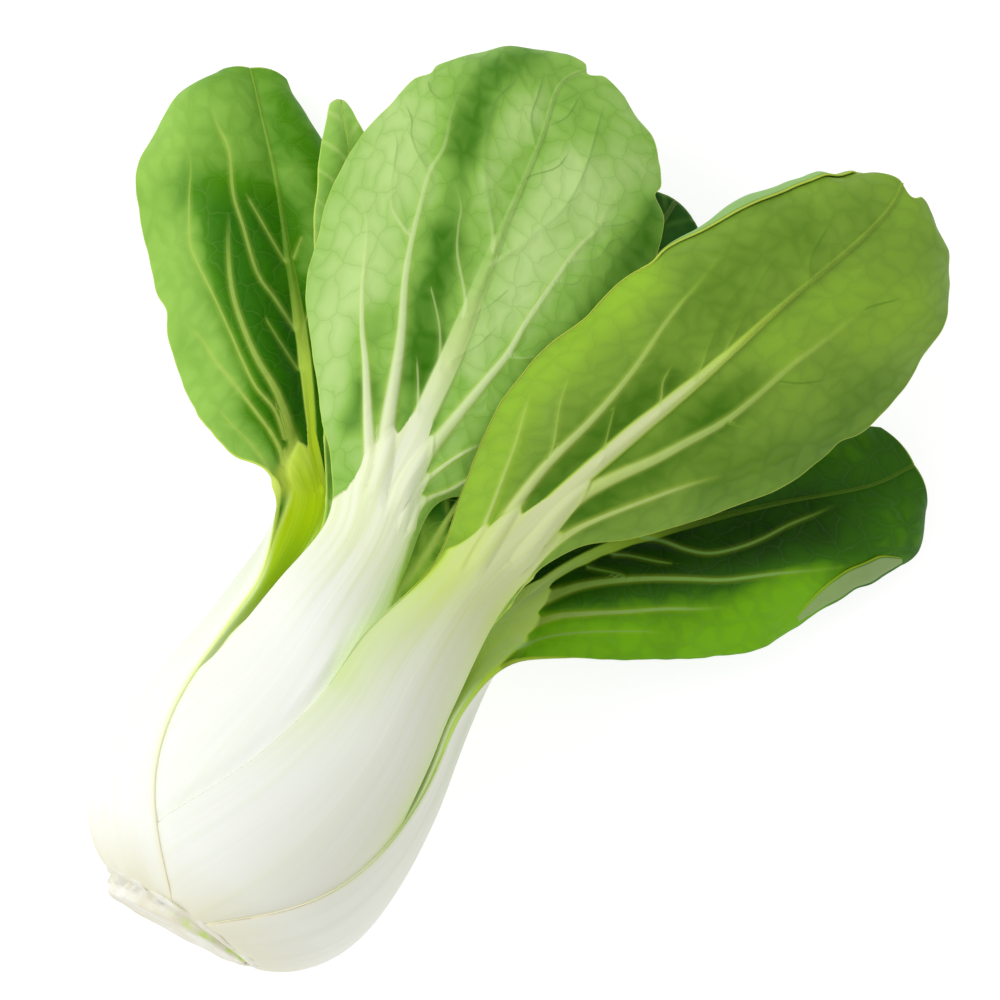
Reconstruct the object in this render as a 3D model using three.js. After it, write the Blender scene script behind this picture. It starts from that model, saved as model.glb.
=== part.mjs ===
// A head of white-stemmed bok choy, lying on its side on a flat surface.
// Millimetres. +X runs along the stem axis from the cut butt to the leaf tips, +Y is the left
// side of the head and +Z is up, away from the surface that it lies on.
//
// Every leaf is one sheet P(u, v). v runs across it from -1 to +1. u runs along it: from 0 to 1
// the sheet wraps round the stem axis in the bulb, from 1 to 2 it leaves the bulb, and from 2 on
// it follows three rails, its two margins and its midrib. The sheet is the outer face of the
// leaf. A white stalk, which narrows to the midrib, and a green blade round that rib are two
// solids, a little apart.

import * as THREE from 'three';

// ---- driving dimensions -------------------------------------------------------------------

const BUTT_RADIUS = 15.2; // cut face of the stem
const BUTT_FACE_X = -1.1;
const BUTT_SLANT = 0.1; // the cut is not quite square to the axis
const BUTT_BACK_X = 1;
const BUTT_DISH = 0.5; // the face is this much hollow
const BUTT_DISH_RADIUS_SHARE = 0.55;
const BUTT_EDGE = 0.8; // the rim is rounded off over this width
const CORE_RADIUS = 8; // stem inside the leaf bases
const CORE_END_RADIUS = 4;
const CORE_END_X = 20;
const BULB_RADIUS = 31.9; // widest, side to side
const BULB_START_RADIUS = 15;
const BULB_WIDEST_X = 28;
const SWELL_POWER = 2.6; // how steadily the bulb swells, and how blunt it starts
const SWELL_BLUNTNESS = 0.62;
const NECK_RADIUS = 27; // where the stalks part
const NECK_X = 72;
const BULB_HEIGHT_RATIO = 0.95; // a little flatter than round
const AXIS_Z = 29.5;
const AXIS_Y = 0.8;
const NECK_SHIFT_Y = 1.9; // the neck lies a little to the left of the bulb
const NECK_SHIFT_START_X = 44;
const NECK_SHIFT_LENGTH = 30;
const BULB_ROWS = [1.3, 2.5, 4, 6, 9, 13, 18, 24, 30, 36, 43, 50]; // sections round the axis
const BULB_END_X = BULB_ROWS.at(-1);
const RAIL_START_X = 64; // rails alone from here
const FLARE_X = 6; // leaf bases are widest here and narrow along FLARE_LENGTH
const FLARE_LENGTH = 22;

const GAP = 0.3; // between touching pieces
const LAYER_GAP = 1.2; // between the stalks packed in the bulb
const INNER_LAYER_GAP = 1.5; // and between those that are hidden
const NECK_LAYER_GAP = 1.7; // and where they part
const PARTING_START_X = 38;
const PARTING_LENGTH = 26;
const COVER_PAD = 9; // degrees past a margin that the leaf below still stays down
const COVER_FADE = 14; // degrees over which it comes back up
const RIM_THICKNESS = 1.2; // stalk margin
const BLADE_THICKNESS = 0.75;
const BASE_THICKNESS_SHARE = 0.3; // a stalk starts this thin at the butt
const BASE_LENGTH = 22; // and is at full thickness here
const BASE_RIM_GROWTH = 1.6; // the margins thicken this much sooner than the middle
const CRESCENT_POWER = 1.2; // how quickly a stalk thins towards its margins
const THINNING_START = 1.5; // in u, where a stalk begins to thin towards the blade
const THINNING_LENGTH = 3;
const THINNING_SHARE = 0.88;
const RIB_RELIEF = 1.5; // how far a midrib stands out of the back of the blade
const RELIEF_START = 2.3; // in u
const RELIEF_RISE = 1.7;
const RELIEF_FALL_START = 4;
const RELIEF_LOSS = 0.7; // share of the relief lost by the tip
const RIB_HALF_WIDTH = 2.4;
const RIB_TIP_HALF_WIDTH = 0.7;
const RIB_TAPER = 0.7; // in u, from stalk width to rib width
const RIB_SHARE = 0.86; // the rib runs this far along the blade
const WING_START = 0.12; // in u, past the point where the blade begins
const MIN_WING_WIDTH = 0.9;
const CROWN_RISE = 0.3; // shares of the blade over which its crown and ruffle come and go
const CROWN_END = 1.15;
const CROWN_FALL = 0.4;
const RUFFLE_SIDE_PHASE = 1.3; // between the two margins' ruffles

// Leaves from the outermost in. plus and minus are the margins in the bulb, in degrees round
// the axis from straight up towards +Y: the angle at the neck, and how much further round the
// margin starts at the base. rails lists [plus margin, midrib, minus margin] at each station.
const LEAVES = [
  {
    name: 'right', start: 1.3, thickness: 7.5, blade: 3.15, colour: 'outer',
    plus: [-64, 42], minus: [-122, -36], crown: [-5, -2], ruffle: [0.66, 5, 0.4],
    rails: [
      [[78.5, -24.5, 31], [83, -22, 20], [85, -17.5, 12]],
      [[88.6, -35.5, 22], [97, -22, 17], [99, -16, 9]],
      [[100, -51, 15], [112, -29, 16], [114, -19, 6]],
      [[113, -65, 9], [127, -41, 15], [133, -29.5, 6]],
      [[130, -73.5, 6], [141, -53.5, 13], [150, -42.5, 7]],
      [[147.5, -82, 6], [154, -66, 11], [161.5, -54.5, 9]],
      [[157.5, -79, 7], [164, -72, 9], [166.5, -62, 9]],
    ],
  },
  {
    name: 'left', start: 1.3, thickness: 7.5, thinningStart: 2.5, blade: 3.4, colour: 'outer',
    plus: [122, 36], minus: [60.5, -42.5], crown: [-2, -5], ruffle: [0.66, 5, 2.1],
    rails: [
      [[84, 19.5, 15], [82, 28.5, 20.5], [79, 31, 32]],
      [[89, 21, 13], [87, 30, 18], [83.5, 36, 28]],
      [[98.5, 24, 9], [95, 35.5, 16], [84.6, 49, 21]],
      [[115, 28.5, 6], [110, 45.5, 15], [92, 62, 14]],
      [[133, 42.5, 6], [126, 59, 14], [108, 80, 9]],
      [[145, 56.5, 7], [139, 71, 13], [123.7, 94, 6]],
      [[152, 71, 8], [148.5, 81, 12], [141, 96.5, 6]],
      [[157.5, 80.5, 8], [155, 87.5, 9], [149, 92.5, 7]],
    ],
  },
  {
    name: 'front_right', start: 1.3, thickness: 7, blade: 3.3, colour: 'outer',
    plus: [-3, 42], minus: [-53.5, -4], crown: [1.5, 2.5], ruffle: [0.59, 6, 1.2],
    rails: [
      [[84, -1.3, 47], [85.5, -10, 48.5], [86.5, -17.5, 43]],
      [[101, 2.5, 47], [103.5, -13, 48.5], [102.5, -22.5, 42]],
      [[120, 5.5, 47], [123, -18, 50], [120.5, -38.5, 37]],
      [[143.5, 1, 47], [145, -24.5, 51], [145.5, -53.5, 34]],
      [[167, -6, 46], [166.5, -30, 50.5], [169.5, -60, 32]],
      [[187, -16, 43.5], [184.5, -35, 47], [188.5, -58.5, 33]],
      [[194.5, -22.5, 41.5], [196, -37, 43.5], [197.5, -52, 35]],
      [[200, -29, 39.5], [203.5, -36.5, 40], [201.5, -45, 37]],
    ],
  },
  {
    name: 'under', start: 1.3, thickness: 7, blade: 3.1, colour: 'outer',
    plus: [208, 44], minus: [152, -44], crown: [0, 0], ruffle: [0.21, 5, 0],
    rails: [
      [[84, -11, 5.5], [84, 1.5, 3], [84, 14, 5.5]],
      [[98, -24, 3], [98, 1, 2.2], [98, 26, 3]],
      [[118, -33, 1], [118, 0, 1.6], [118, 34, 1]],
      [[142, -31, 0.6], [142, -1, 1.3], [142, 30, 0.6]],
      [[166, -21, 1], [166, -1, 1.2], [166, 20, 1]],
      [[180.5, -9.5, 3], [184, -0.5, 3.5], [181, 8, 3]],
    ],
  },
  {
    name: 'front_left', start: 1.3, thickness: 7, blade: 3.5, colour: 'outer',
    plus: [42, 54], minus: [-5.5, -32], crown: [2.5, 1], ruffle: [0.52, 6, 0.2],
    rails: [
      [[80, 20.8, 43.5], [80, 11.5, 48], [80, 2.4, 44.7]],
      [[90, 26.5, 41.5], [93, 14.5, 46.5], [94, 4.8, 43]],
      [[101, 37, 39.5], [104, 16, 46], [103, -1.5, 40.5]],
      [[121.5, 52.5, 35], [122, 20, 45.5], [121.5, -9, 38]],
      [[148.5, 59, 32.5], [143.5, 23.5, 45], [145.5, -10.5, 37]],
      [[171, 55, 31], [166.5, 28, 42], [168.5, -1.5, 36]],
      [[183, 45, 30], [180.5, 31.5, 37], [181.5, 7.8, 34]],
      [[187.5, 36, 31], [189, 28.5, 32.5], [188, 20, 32]],
    ],
  },
  {
    name: 'inner_left', start: 4, thickness: 5, blade: 3.2, colour: 'inner',
    plus: [101, 30], minus: [49, -30], crown: [0, -1.5], ruffle: [0.35, 4, 0],
    rails: [
      [[84, 16.5, 24], [84, 19.5, 29], [80.5, 21.5, 34]],
      [[100, 19.5, 21.5], [100, 25.5, 25.5], [96, 31.5, 31]],
      [[120, 27, 22], [117, 37, 25], [114, 45.5, 29]],
      [[142, 42, 24], [137, 51, 26], [132, 57.5, 29]],
      [[151, 56, 26], [148, 60, 27], [143, 63.5, 28]],
      [[155.5, 65, 27], [155.5, 67, 27], [153.5, 68, 27]],
    ],
  },
  {
    name: 'inner_right', start: 4, thickness: 5, blade: 3.2, colour: 'inner',
    plus: [-49, 30], minus: [-101, -30], crown: [-1.5, 0], ruffle: [0.35, 4, 1],
    rails: [
      [[84, -17.5, 32], [84, -17, 27], [84, -14.5, 22.5]],
      [[100, -19, 30], [102, -18.5, 25], [103, -12, 22]],
      [[117, -30, 29], [122, -28, 25], [125, -17, 22.5]],
      [[139, -46, 27], [142, -39, 25], [145, -28, 23.5]],
      [[153, -49, 26], [156, -44, 25], [156, -37, 24.5]],
    ],
  },
  {
    name: 'inner_top', start: 6, thickness: 4.5, blade: 3.2, colour: 'inner',
    plus: [24, 30], minus: [-24, -30], crown: [1, 1], ruffle: [0.35, 4, 2],
    rails: [
      [[84, 10, 40], [84, 1, 41], [84, -8, 40]],
      [[98, 14, 36.5], [98, 1.5, 38], [98, -10, 36.5]],
      [[116, 17, 33], [116, 1, 34.5], [116, -16, 33]],
      [[136, 15, 32], [136, 0, 33.5], [136, -15, 32]],
      [[152, 5, 32.5], [154, 0, 33], [152, -5, 32.5]],
    ],
  },
  {
    name: 'inner_low_left', start: 6, thickness: 4.5, blade: 3.2, colour: 'inner',
    plus: [169, 26], minus: [121, -30], crown: [0, -1], ruffle: [0.28, 4, 0],
    rails: [
      [[84, 4, 12], [84, 11, 13], [84, 16, 18]],
      [[102, 3.5, 13], [102, 14, 15], [102, 23, 18]],
      [[122, 5, 14], [122, 18, 16], [122, 31, 19]],
      [[140, 12, 16], [138, 22, 17], [136, 31, 18.5]],
      [[148, 20, 17.5], [149, 24, 18], [147, 28, 18]],
    ],
  },
  {
    name: 'inner_low_right', start: 6, thickness: 4.5, blade: 3.2, colour: 'inner',
    plus: [-121, 30], minus: [-169, -26], crown: [-1, 0], ruffle: [0.28, 4, 1],
    rails: [
      [[84, -11.5, 17], [84, -8, 13], [84, -1, 12]],
      [[101, -17, 19.5], [102, -9, 15.5], [103, 0, 13.3]],
      [[121, -28, 20], [122, -15, 16.5], [123, -2, 14]],
      [[138, -31, 20], [140, -20, 17.5], [141, -9, 16]],
      [[149, -26, 18.5], [151, -22, 18], [150, -18, 17.5]],
    ],
  },
  {
    name: 'heart', start: 9, thickness: 4.5, blade: 3.2, colour: 'heart',
    plus: [206, 30], minus: [154, -30], crown: [0, 0], ruffle: [0.35, 3, 0],
    rails: [
      [[84, -8, 21], [84, 1, 17], [84, 10, 21]],
      [[98, -11, 25], [98, 0, 21], [98, 11, 25]],
      [[112, -10, 28], [112, 0, 25], [112, 9, 28]],
      [[122, -4, 29], [124, 0, 28.5], [122, 3, 29]],
    ],
  },
];

const OUTER_LEAVES = LEAVES.filter((leaf) => leaf.colour === 'outer').length;

const GRIDS = {
  outer: { rowStep: 0.45, stalkColumns: 8, wingColumns: 5 },
  inner: { rowStep: 0.5, stalkColumns: 6, wingColumns: 3 },
  heart: { rowStep: 0.5, stalkColumns: 6, wingColumns: 3 },
};

const FINISHES = {
  stem: { color: '#d9cfa0', roughness: 0.7, metalness: 0 },
  stalk: { color: '#eef0df', roughness: 0.45, metalness: 0 },
  outer: { color: '#4b7a35', roughness: 0.5, metalness: 0 },
  inner: { color: '#6f9a45', roughness: 0.5, metalness: 0 },
  heart: { color: '#a3ba62', roughness: 0.5, metalness: 0 },
};

// ---- small maths --------------------------------------------------------------------------

function smooth(value) {
  const t = Math.min(1, Math.max(0, value));
  return t * t * (3 - 2 * t);
}

// Catmull-Rom curve through the points, one unit of t for each span.
function splineAt(points, t) {
  const last = points.length - 1;
  const i = Math.min(last - 1, Math.max(0, Math.floor(t)));
  const f = t - i;
  const b = points[i];
  const c = points[i + 1];
  const a = i > 0 ? points[i - 1] : b.clone().multiplyScalar(2).sub(c);
  const d = i + 2 <= last ? points[i + 2] : c.clone().multiplyScalar(2).sub(b);
  return b.clone().multiplyScalar(2)
    .addScaledVector(c.clone().sub(a), f)
    .addScaledVector(a.clone().multiplyScalar(2).addScaledVector(b, -5)
      .addScaledVector(c, 4).sub(d), f * f)
    .addScaledVector(b.clone().multiplyScalar(3).sub(a)
      .addScaledVector(c, -3).add(d), f * f * f)
    .multiplyScalar(0.5);
}

// ---- the bulb -----------------------------------------------------------------------------

// The bulb swells quickly behind the butt, is widest at BULB_WIDEST_X and narrows to the neck.
function bulbRadius(x) {
  if (x < BULB_WIDEST_X) {
    const s = Math.max(0, (x - BUTT_BACK_X) / (BULB_WIDEST_X - BUTT_BACK_X));
    const swell = (1 - (1 - s) ** SWELL_POWER) ** SWELL_BLUNTNESS;
    return BULB_START_RADIUS + (BULB_RADIUS - BULB_START_RADIUS) * swell;
  }
  const s = (x - BULB_WIDEST_X) / (NECK_X - BULB_WIDEST_X);
  return BULB_RADIUS - (BULB_RADIUS - NECK_RADIUS) * smooth(s);
}

function marginAngle([neck, flare], x) {
  return neck + flare * Math.exp((FLARE_X - x) / FLARE_LENGTH);
}

// A stalk is a crescent: thick along its middle, thin at its rims, and thin at its base.
function stalkThickness(leaf, x, v) {
  const growth = BASE_THICKNESS_SHARE + (1 - BASE_THICKNESS_SHARE) * smooth(x / BASE_LENGTH);
  const across = Math.max(0, 1 - v * v) ** CRESCENT_POWER;
  const rim = RIM_THICKNESS * Math.min(1, growth * BASE_RIM_GROWTH);
  return rim + (leaf.thickness * growth - rim) * across;
}

// How deep the outer leaves that lie over this place press a leaf of the given rank.
function coverDepth(rank, x, angle) {
  const packed = rank < OUTER_LEAVES ? LAYER_GAP : INNER_LAYER_GAP;
  const parting = smooth((x - PARTING_START_X) / PARTING_LENGTH);
  const gap = packed + (NECK_LAYER_GAP - packed) * parting;
  let depth = 0;
  for (const outer of LEAVES.slice(0, rank)) {
    const plus = marginAngle(outer.plus, x);
    const minus = marginAngle(outer.minus, x);
    const middle = (plus + minus) / 2;
    const half = (plus - minus) / 2;
    const offset = angle - middle - 360 * Math.round((angle - middle) / 360);
    const past = Math.abs(offset) - half - COVER_PAD;
    const cover = 1 - smooth(past / COVER_FADE);
    const v = Math.max(-1, Math.min(1, offset / half));
    depth += cover * (stalkThickness(outer, x, v) + gap);
  }
  return depth;
}

// Straight out from the axis, as long as the section is flattened there.
function radial(angle) {
  const a = THREE.MathUtils.degToRad(angle);
  return new THREE.Vector3(0, Math.sin(a), BULB_HEIGHT_RATIO * Math.cos(a));
}

function angleAt(leaf, x, v) {
  const plus = marginAngle(leaf.plus, x);
  const minus = marginAngle(leaf.minus, x);
  return (plus + minus) / 2 + v * (plus - minus) / 2;
}

// A point of the sheet in the bulb.
function bulbPoint(leaf, x, v) {
  const angle = angleAt(leaf, x, v);
  const radius = bulbRadius(x) - coverDepth(leaf.rank, x, angle);
  const out = radial(angle);
  const axisY = AXIS_Y + NECK_SHIFT_Y * smooth((x - NECK_SHIFT_START_X) / NECK_SHIFT_LENGTH);
  return new THREE.Vector3(x, axisY, AXIS_Z).addScaledVector(out, radius);
}

// ---- the leaf sheet -----------------------------------------------------------------------

function prepare(leaf, rank) {
  leaf.rank = rank;
  const sides = [1, 0, -1].map((v, side) => [
    bulbPoint(leaf, BULB_END_X, v),
    bulbPoint(leaf, RAIL_START_X, v),
    ...leaf.rails.map((station) => new THREE.Vector3(...station[side])),
  ]);
  [leaf.plusRail, leaf.midRail, leaf.minusRail] = sides;
  leaf.end = leaf.midRail.length;
}

// Parabola across the three rails.
function railPoint(leaf, u, v) {
  const plus = splineAt(leaf.plusRail, u - 1);
  const middle = splineAt(leaf.midRail, u - 1);
  const minus = splineAt(leaf.minusRail, u - 1);
  const lift = plus.clone().add(minus).multiplyScalar(0.5).sub(middle);
  return middle.addScaledVector(plus.sub(minus), v / 2).addScaledVector(lift, v * v);
}

function baseSheet(leaf, u, v) {
  if (u <= 1) {
    return bulbPoint(leaf, leaf.start + (BULB_END_X - leaf.start) * u, v);
  }
  const rail = railPoint(leaf, u, v);
  if (u >= 2) {
    return rail;
  }
  const x = BULB_END_X + (RAIL_START_X - BULB_END_X) * (u - 1);
  return bulbPoint(leaf, x, v).lerp(rail, smooth(u - 1));
}

// The way out of the leaf: from the axis in the bulb, square to the sheet past it.
function outward(leaf, u, v) {
  const step = 0.02;
  const square = baseSheet(leaf, Math.min(leaf.end, u + step), v)
    .sub(baseSheet(leaf, Math.max(0, u - step), v))
    .cross(baseSheet(leaf, u, v + step).sub(baseSheet(leaf, u, v - step)))
    .normalize();
  const x = leaf.start + (BULB_END_X - leaf.start) * Math.min(1, u);
  return radial(angleAt(leaf, x, v)).lerp(square, smooth(u - 1));
}

// The halves of a blade are crowned between rib and margin, and its margin is ruffled.
function sheet(leaf, u, v) {
  const point = baseSheet(leaf, u, v);
  const along = Math.max(0, (u - leaf.blade) / (leaf.end - leaf.blade));
  if (along <= 0) {
    return point;
  }
  const q = Math.abs(v);
  const rise = smooth(along / CROWN_RISE) * smooth((CROWN_END - along) / CROWN_FALL);
  const crown = (v > 0 ? leaf.crown[0] : leaf.crown[1]) * 4 * q * (1 - q);
  const [size, waves, phase] = leaf.ruffle;
  const turn = 2 * Math.PI * waves * along + phase + (v > 0 ? RUFFLE_SIDE_PHASE : 0);
  const wave = size * q ** 3 * Math.sin(turn);
  return point.addScaledVector(outward(leaf, u, v), rise * (crown + wave));
}

// The head rests on the surface, so no outer face goes below it.
function rested(point) {
  point.z = Math.max(0, point.z);
  return point;
}

// ---- stalk and blade ----------------------------------------------------------------------

function halfWidth(leaf, u) {
  return baseSheet(leaf, u, 0.05).distanceTo(baseSheet(leaf, u, -0.05)) / 0.1;
}

// The share of the half width that the stalk or rib takes.
function ribShare(leaf, u) {
  if (u <= leaf.blade) {
    return 1;
  }
  const along = (u - leaf.blade) / (leaf.end - leaf.blade);
  const rib = RIB_TIP_HALF_WIDTH + (RIB_HALF_WIDTH - RIB_TIP_HALF_WIDTH) * (1 - along);
  const stalk = halfWidth(leaf, leaf.blade);
  const width = rib + (stalk - rib) * Math.exp((leaf.blade - u) / RIB_TAPER);
  const room = 1 - (MIN_WING_WIDTH + GAP) / halfWidth(leaf, u);
  return Math.min(width / halfWidth(leaf, u), room);
}

function gapShare(leaf, u) {
  return (GAP / 2 + 0.02) / halfWidth(leaf, u);
}

function stalkFaces(leaf, u, s) {
  const narrow = u > leaf.blade;
  const v = s * (ribShare(leaf, u) - (narrow ? gapShare(leaf, u) : 0));
  const point = sheet(leaf, u, v);
  const normal = outward(leaf, u, v);
  const x = u < 1 ? leaf.start + (BULB_END_X - leaf.start) * u : BULB_END_X;
  const thinning = smooth((u - (leaf.thinningStart ?? THINNING_START)) / THINNING_LENGTH);
  const fall = 1 - THINNING_SHARE * thinning;
  const inner = Math.max(BLADE_THICKNESS, stalkThickness(leaf, x, s) * fall);
  const loss = RELIEF_LOSS * smooth((u - RELIEF_FALL_START) / (leaf.end - RELIEF_FALL_START));
  const relief = RIB_RELIEF * smooth((u - RELIEF_START) / RELIEF_RISE) * (1 - loss) * (1 - s * s);
  const outside = rested(point.clone().addScaledVector(normal, relief));
  return [outside, point.addScaledVector(normal, -inner)];
}

function bladeFaces(leaf, u, v) {
  const point = sheet(leaf, u, v);
  const normal = outward(leaf, u, v);
  const inside = point.clone().addScaledVector(normal, -BLADE_THICKNESS);
  return [rested(point), inside];
}

// ---- sheets into closed solids ------------------------------------------------------------

// A solid from rows of [outer, inner] points. keep(row, column) says which cells are filled.
// Both faces are split alike, and every open edge of the sheet gets a wall.
function thickSheet(rows, keep) {
  const columns = rows[0].length;
  const positions = [];
  for (const row of rows) {
    for (const [outer, inner] of row) {
      positions.push(...outer.toArray(), ...inner.toArray());
    }
  }
  const index = [];
  const edges = new Map();
  const addTriangle = (a, b, c) => {
    index.push(2 * a, 2 * b, 2 * c, 2 * a + 1, 2 * c + 1, 2 * b + 1);
    for (const [from, to] of [[a, b], [b, c], [c, a]]) {
      if (!edges.delete(`${to}_${from}`)) {
        edges.set(`${from}_${to}`, [from, to]);
      }
    }
  };
  for (let i = 0; i + 1 < rows.length; i += 1) {
    for (let j = 0; j + 1 < columns; j += 1) {
      if (!keep(i, j)) {
        continue;
      }
      const a = i * columns + j;
      const b = a + columns;
      if (j < (columns - 1) / 2) {
        addTriangle(a, b, b + 1);
        addTriangle(a, b + 1, a + 1);
      } else {
        addTriangle(a, b, a + 1);
        addTriangle(a + 1, b, b + 1);
      }
    }
  }
  for (const [from, to] of edges.values()) {
    index.push(2 * from, 2 * from + 1, 2 * to, 2 * to, 2 * from + 1, 2 * to + 1);
  }
  return closedGeometry(positions, index);
}

// Leaves out the vertices that no triangle uses.
function closedGeometry(positions, index) {
  const renamed = new Map();
  const kept = [];
  const faces = index.map((old) => {
    if (!renamed.has(old)) {
      renamed.set(old, kept.length / 3);
      kept.push(...positions.slice(3 * old, 3 * old + 3));
    }
    return renamed.get(old);
  });
  const geometry = new THREE.BufferGeometry();
  geometry.setAttribute('position', new THREE.Float32BufferAttribute(kept, 3));
  geometry.setIndex(faces);
  geometry.computeVertexNormals();
  return geometry;
}

function steps(from, to, step) {
  const count = Math.max(1, Math.round((to - from) / step));
  return Array.from({ length: count }, (_, i) => from + (to - from) * i / count);
}

function stalkGeometry(leaf, grid) {
  const ribEnd = leaf.blade + RIB_SHARE * (leaf.end - leaf.blade);
  const us = [
    ...BULB_ROWS.filter((x) => x >= leaf.start && x < BULB_END_X)
      .map((x) => (x - leaf.start) / (BULB_END_X - leaf.start)),
    ...steps(1, leaf.blade, grid.rowStep),
    leaf.blade,
    ...steps(leaf.blade + WING_START, ribEnd, grid.rowStep),
    ribEnd,
  ];
  const half = grid.stalkColumns / 2;
  const rows = us.map((u) => Array.from(
    { length: grid.stalkColumns + 1 },
    (_, j) => stalkFaces(leaf, u, (j - half) / half),
  ));
  return thickSheet(rows, () => true);
}

function bladeGeometry(leaf, grid) {
  const ribEnd = leaf.blade + RIB_SHARE * (leaf.end - leaf.blade);
  const reach = baseSheet(leaf, ribEnd + 0.01, 0).distanceTo(baseSheet(leaf, ribEnd, 0)) / 0.01;
  const bridge = ribEnd + (GAP + 0.1) / reach;
  const us = [
    ...steps(leaf.blade + WING_START, ribEnd, grid.rowStep),
    bridge,
    ...steps(bridge, leaf.end, grid.rowStep).slice(1),
    leaf.end,
  ];
  const bridgeRow = us.indexOf(bridge);
  const n = grid.wingColumns;
  const rows = us.map((u) => {
    const edge = ribShare(leaf, Math.min(u, bridge)) + gapShare(leaf, Math.min(u, bridge));
    const wing = Array.from({ length: n + 1 }, (_, j) => edge + (1 - edge) * j / n);
    return [...wing.map((v) => -v).reverse(), ...wing].map((v) => bladeFaces(leaf, u, v));
  });
  return thickSheet(rows, (i, j) => j !== n || i >= bridgeRow);
}

// ---- the stem -----------------------------------------------------------------------------

// The cut butt and the short stem behind it, turned round the axis.
function stemGeometry() {
  const profile = [
    [0, BUTT_FACE_X + BUTT_DISH],
    [BUTT_RADIUS * BUTT_DISH_RADIUS_SHARE, BUTT_FACE_X + 0.8 * BUTT_DISH],
    [BUTT_RADIUS - BUTT_EDGE, BUTT_FACE_X],
    [BUTT_RADIUS, BUTT_FACE_X + BUTT_EDGE / 2],
    [BUTT_RADIUS, BUTT_BACK_X],
    [CORE_RADIUS, BUTT_BACK_X],
    [CORE_END_RADIUS, CORE_END_X],
    [0, CORE_END_X],
  ];
  const points = profile.map(([radius, x]) => new THREE.Vector2(radius, x));
  const geometry = new THREE.LatheGeometry(points, 32);
  geometry.rotateZ(-Math.PI / 2);
  const place = geometry.getAttribute('position');
  for (let i = 0; i < place.count; i += 1) {
    if (place.getX(i) < 0) {
      place.setX(i, place.getX(i) - BUTT_SLANT * place.getY(i));
    }
  }
  geometry.translate(0, AXIS_Y, AXIS_Z);
  return geometry;
}

// ---- assembly -----------------------------------------------------------------------------

function named(name, geometry, finish) {
  const mesh = new THREE.Mesh(geometry, new THREE.MeshStandardMaterial(FINISHES[finish]));
  mesh.name = name;
  return mesh;
}

const head = new THREE.Group();
head.add(named('stem_base', stemGeometry(), 'stem'));
LEAVES.forEach(prepare);
for (const leaf of LEAVES) {
  const grid = GRIDS[leaf.colour];
  head.add(named(`leaf_${leaf.name}_stalk`, stalkGeometry(leaf, grid), 'stalk'));
  head.add(named(`leaf_${leaf.name}_blade`, bladeGeometry(leaf, grid), leaf.colour));
}

// The origin is the middle of the underside of the head's box.
const box = new THREE.Box3().setFromObject(head);
const middle = box.getCenter(new THREE.Vector3());
head.position.set(-middle.x, -middle.y, -box.min.z);

export default head;
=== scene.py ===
# A head of white-stemmed bok choy, lying on its side on a flat surface.
#
# The shapes are worked out in millimetres in the head's own frame, the one of the part's source:
# +X from the cut butt to the leaf tips, +Y to the left of the head, +Z up. head_to_row moves
# them into the row's frame, in metres. Each leaf is a sheet over two parameters: u runs from the
# butt to the tip, with 1 at the end of the bulb and one unit for each pair of stations past it,
# and v from -1 at its minus margin over 0 at its midrib to 1 at its plus margin.
import math
from types import SimpleNamespace

import bpy
import numpy as np
from bpy.props import FloatProperty, FloatVectorProperty, PointerProperty
from mathutils import Matrix, Vector


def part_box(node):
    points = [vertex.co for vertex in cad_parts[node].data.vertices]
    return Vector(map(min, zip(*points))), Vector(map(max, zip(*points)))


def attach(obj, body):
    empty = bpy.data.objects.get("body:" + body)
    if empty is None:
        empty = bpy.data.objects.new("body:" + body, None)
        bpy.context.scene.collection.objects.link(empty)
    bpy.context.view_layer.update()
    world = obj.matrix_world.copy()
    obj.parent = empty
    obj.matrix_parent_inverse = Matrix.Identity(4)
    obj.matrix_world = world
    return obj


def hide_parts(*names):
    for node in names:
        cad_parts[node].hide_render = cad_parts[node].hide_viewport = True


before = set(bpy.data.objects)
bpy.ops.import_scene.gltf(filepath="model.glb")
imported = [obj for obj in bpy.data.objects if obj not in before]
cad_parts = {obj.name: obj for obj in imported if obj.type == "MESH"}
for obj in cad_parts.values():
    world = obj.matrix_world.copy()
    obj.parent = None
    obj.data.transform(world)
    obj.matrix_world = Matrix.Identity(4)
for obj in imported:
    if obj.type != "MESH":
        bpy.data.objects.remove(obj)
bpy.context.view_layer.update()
STEM_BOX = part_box("stem_base")

bl_info = {
    "name": "Bok choy head",
    "version": (1, 0, 0),
    "blender": (4, 5, 0),
    "location": "View3D > Sidebar > Bok choy",
    "description": "Leaves, cut stem and stage of a bok choy head that lies on its side",
    "category": "Add Mesh",
}

# ---- sizes shared with the part's source, in millimetres and degrees -------------------------

# A name that ends in GROWTH or THINNING is a pair: where something starts to grow or to thin,
# and over what length.

AXIS_Y = 0.8
AXIS_Z = 29.5
NECK_SHIFT_Y = 1.9
NECK_SHIFT_GROWTH = (44, 30)
BUTT_RADIUS = 15.2
BUTT_FACE_X = -1.1
BUTT_SLANT = 0.1
BUTT_BACK_X = 1
CORE_RADIUS = 8
CORE_END_RADIUS = 4
CORE_END_X = 20
BULB_START_RADIUS = 15
BULB_RADIUS = 31.9
BULB_WIDEST_X = 28
BULB_SWELL_POWERS = (2.6, 0.62)
NECK_RADIUS = 27
NECK_X = 72
BULB_HEIGHT_RATIO = 0.95
BULB_END_X = 50
RAIL_START_X = 64
FLARE_X = 6
FLARE_LENGTH = 22
LAYER_GAP = 0.12
INNER_LAYER_GAP = 1.2
NECK_LAYER_GAP = 1.5
GAP_GROWTH = (38, 26)
OUTER_LEAVES = 5
COVER_PAD = 0.5  # degrees past a margin before the leaf below comes back up
COVER_FADE = 6
RIM_THICKNESS = 0.7
RIM_BASE_SHARE = 0.4
RIM_GROWTH = (40, 24)
BASE_THICKNESS_SHARE = 0.3
BASE_GROWTH = (0, 22)
CRESCENT_POWER = 1.2
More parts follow.
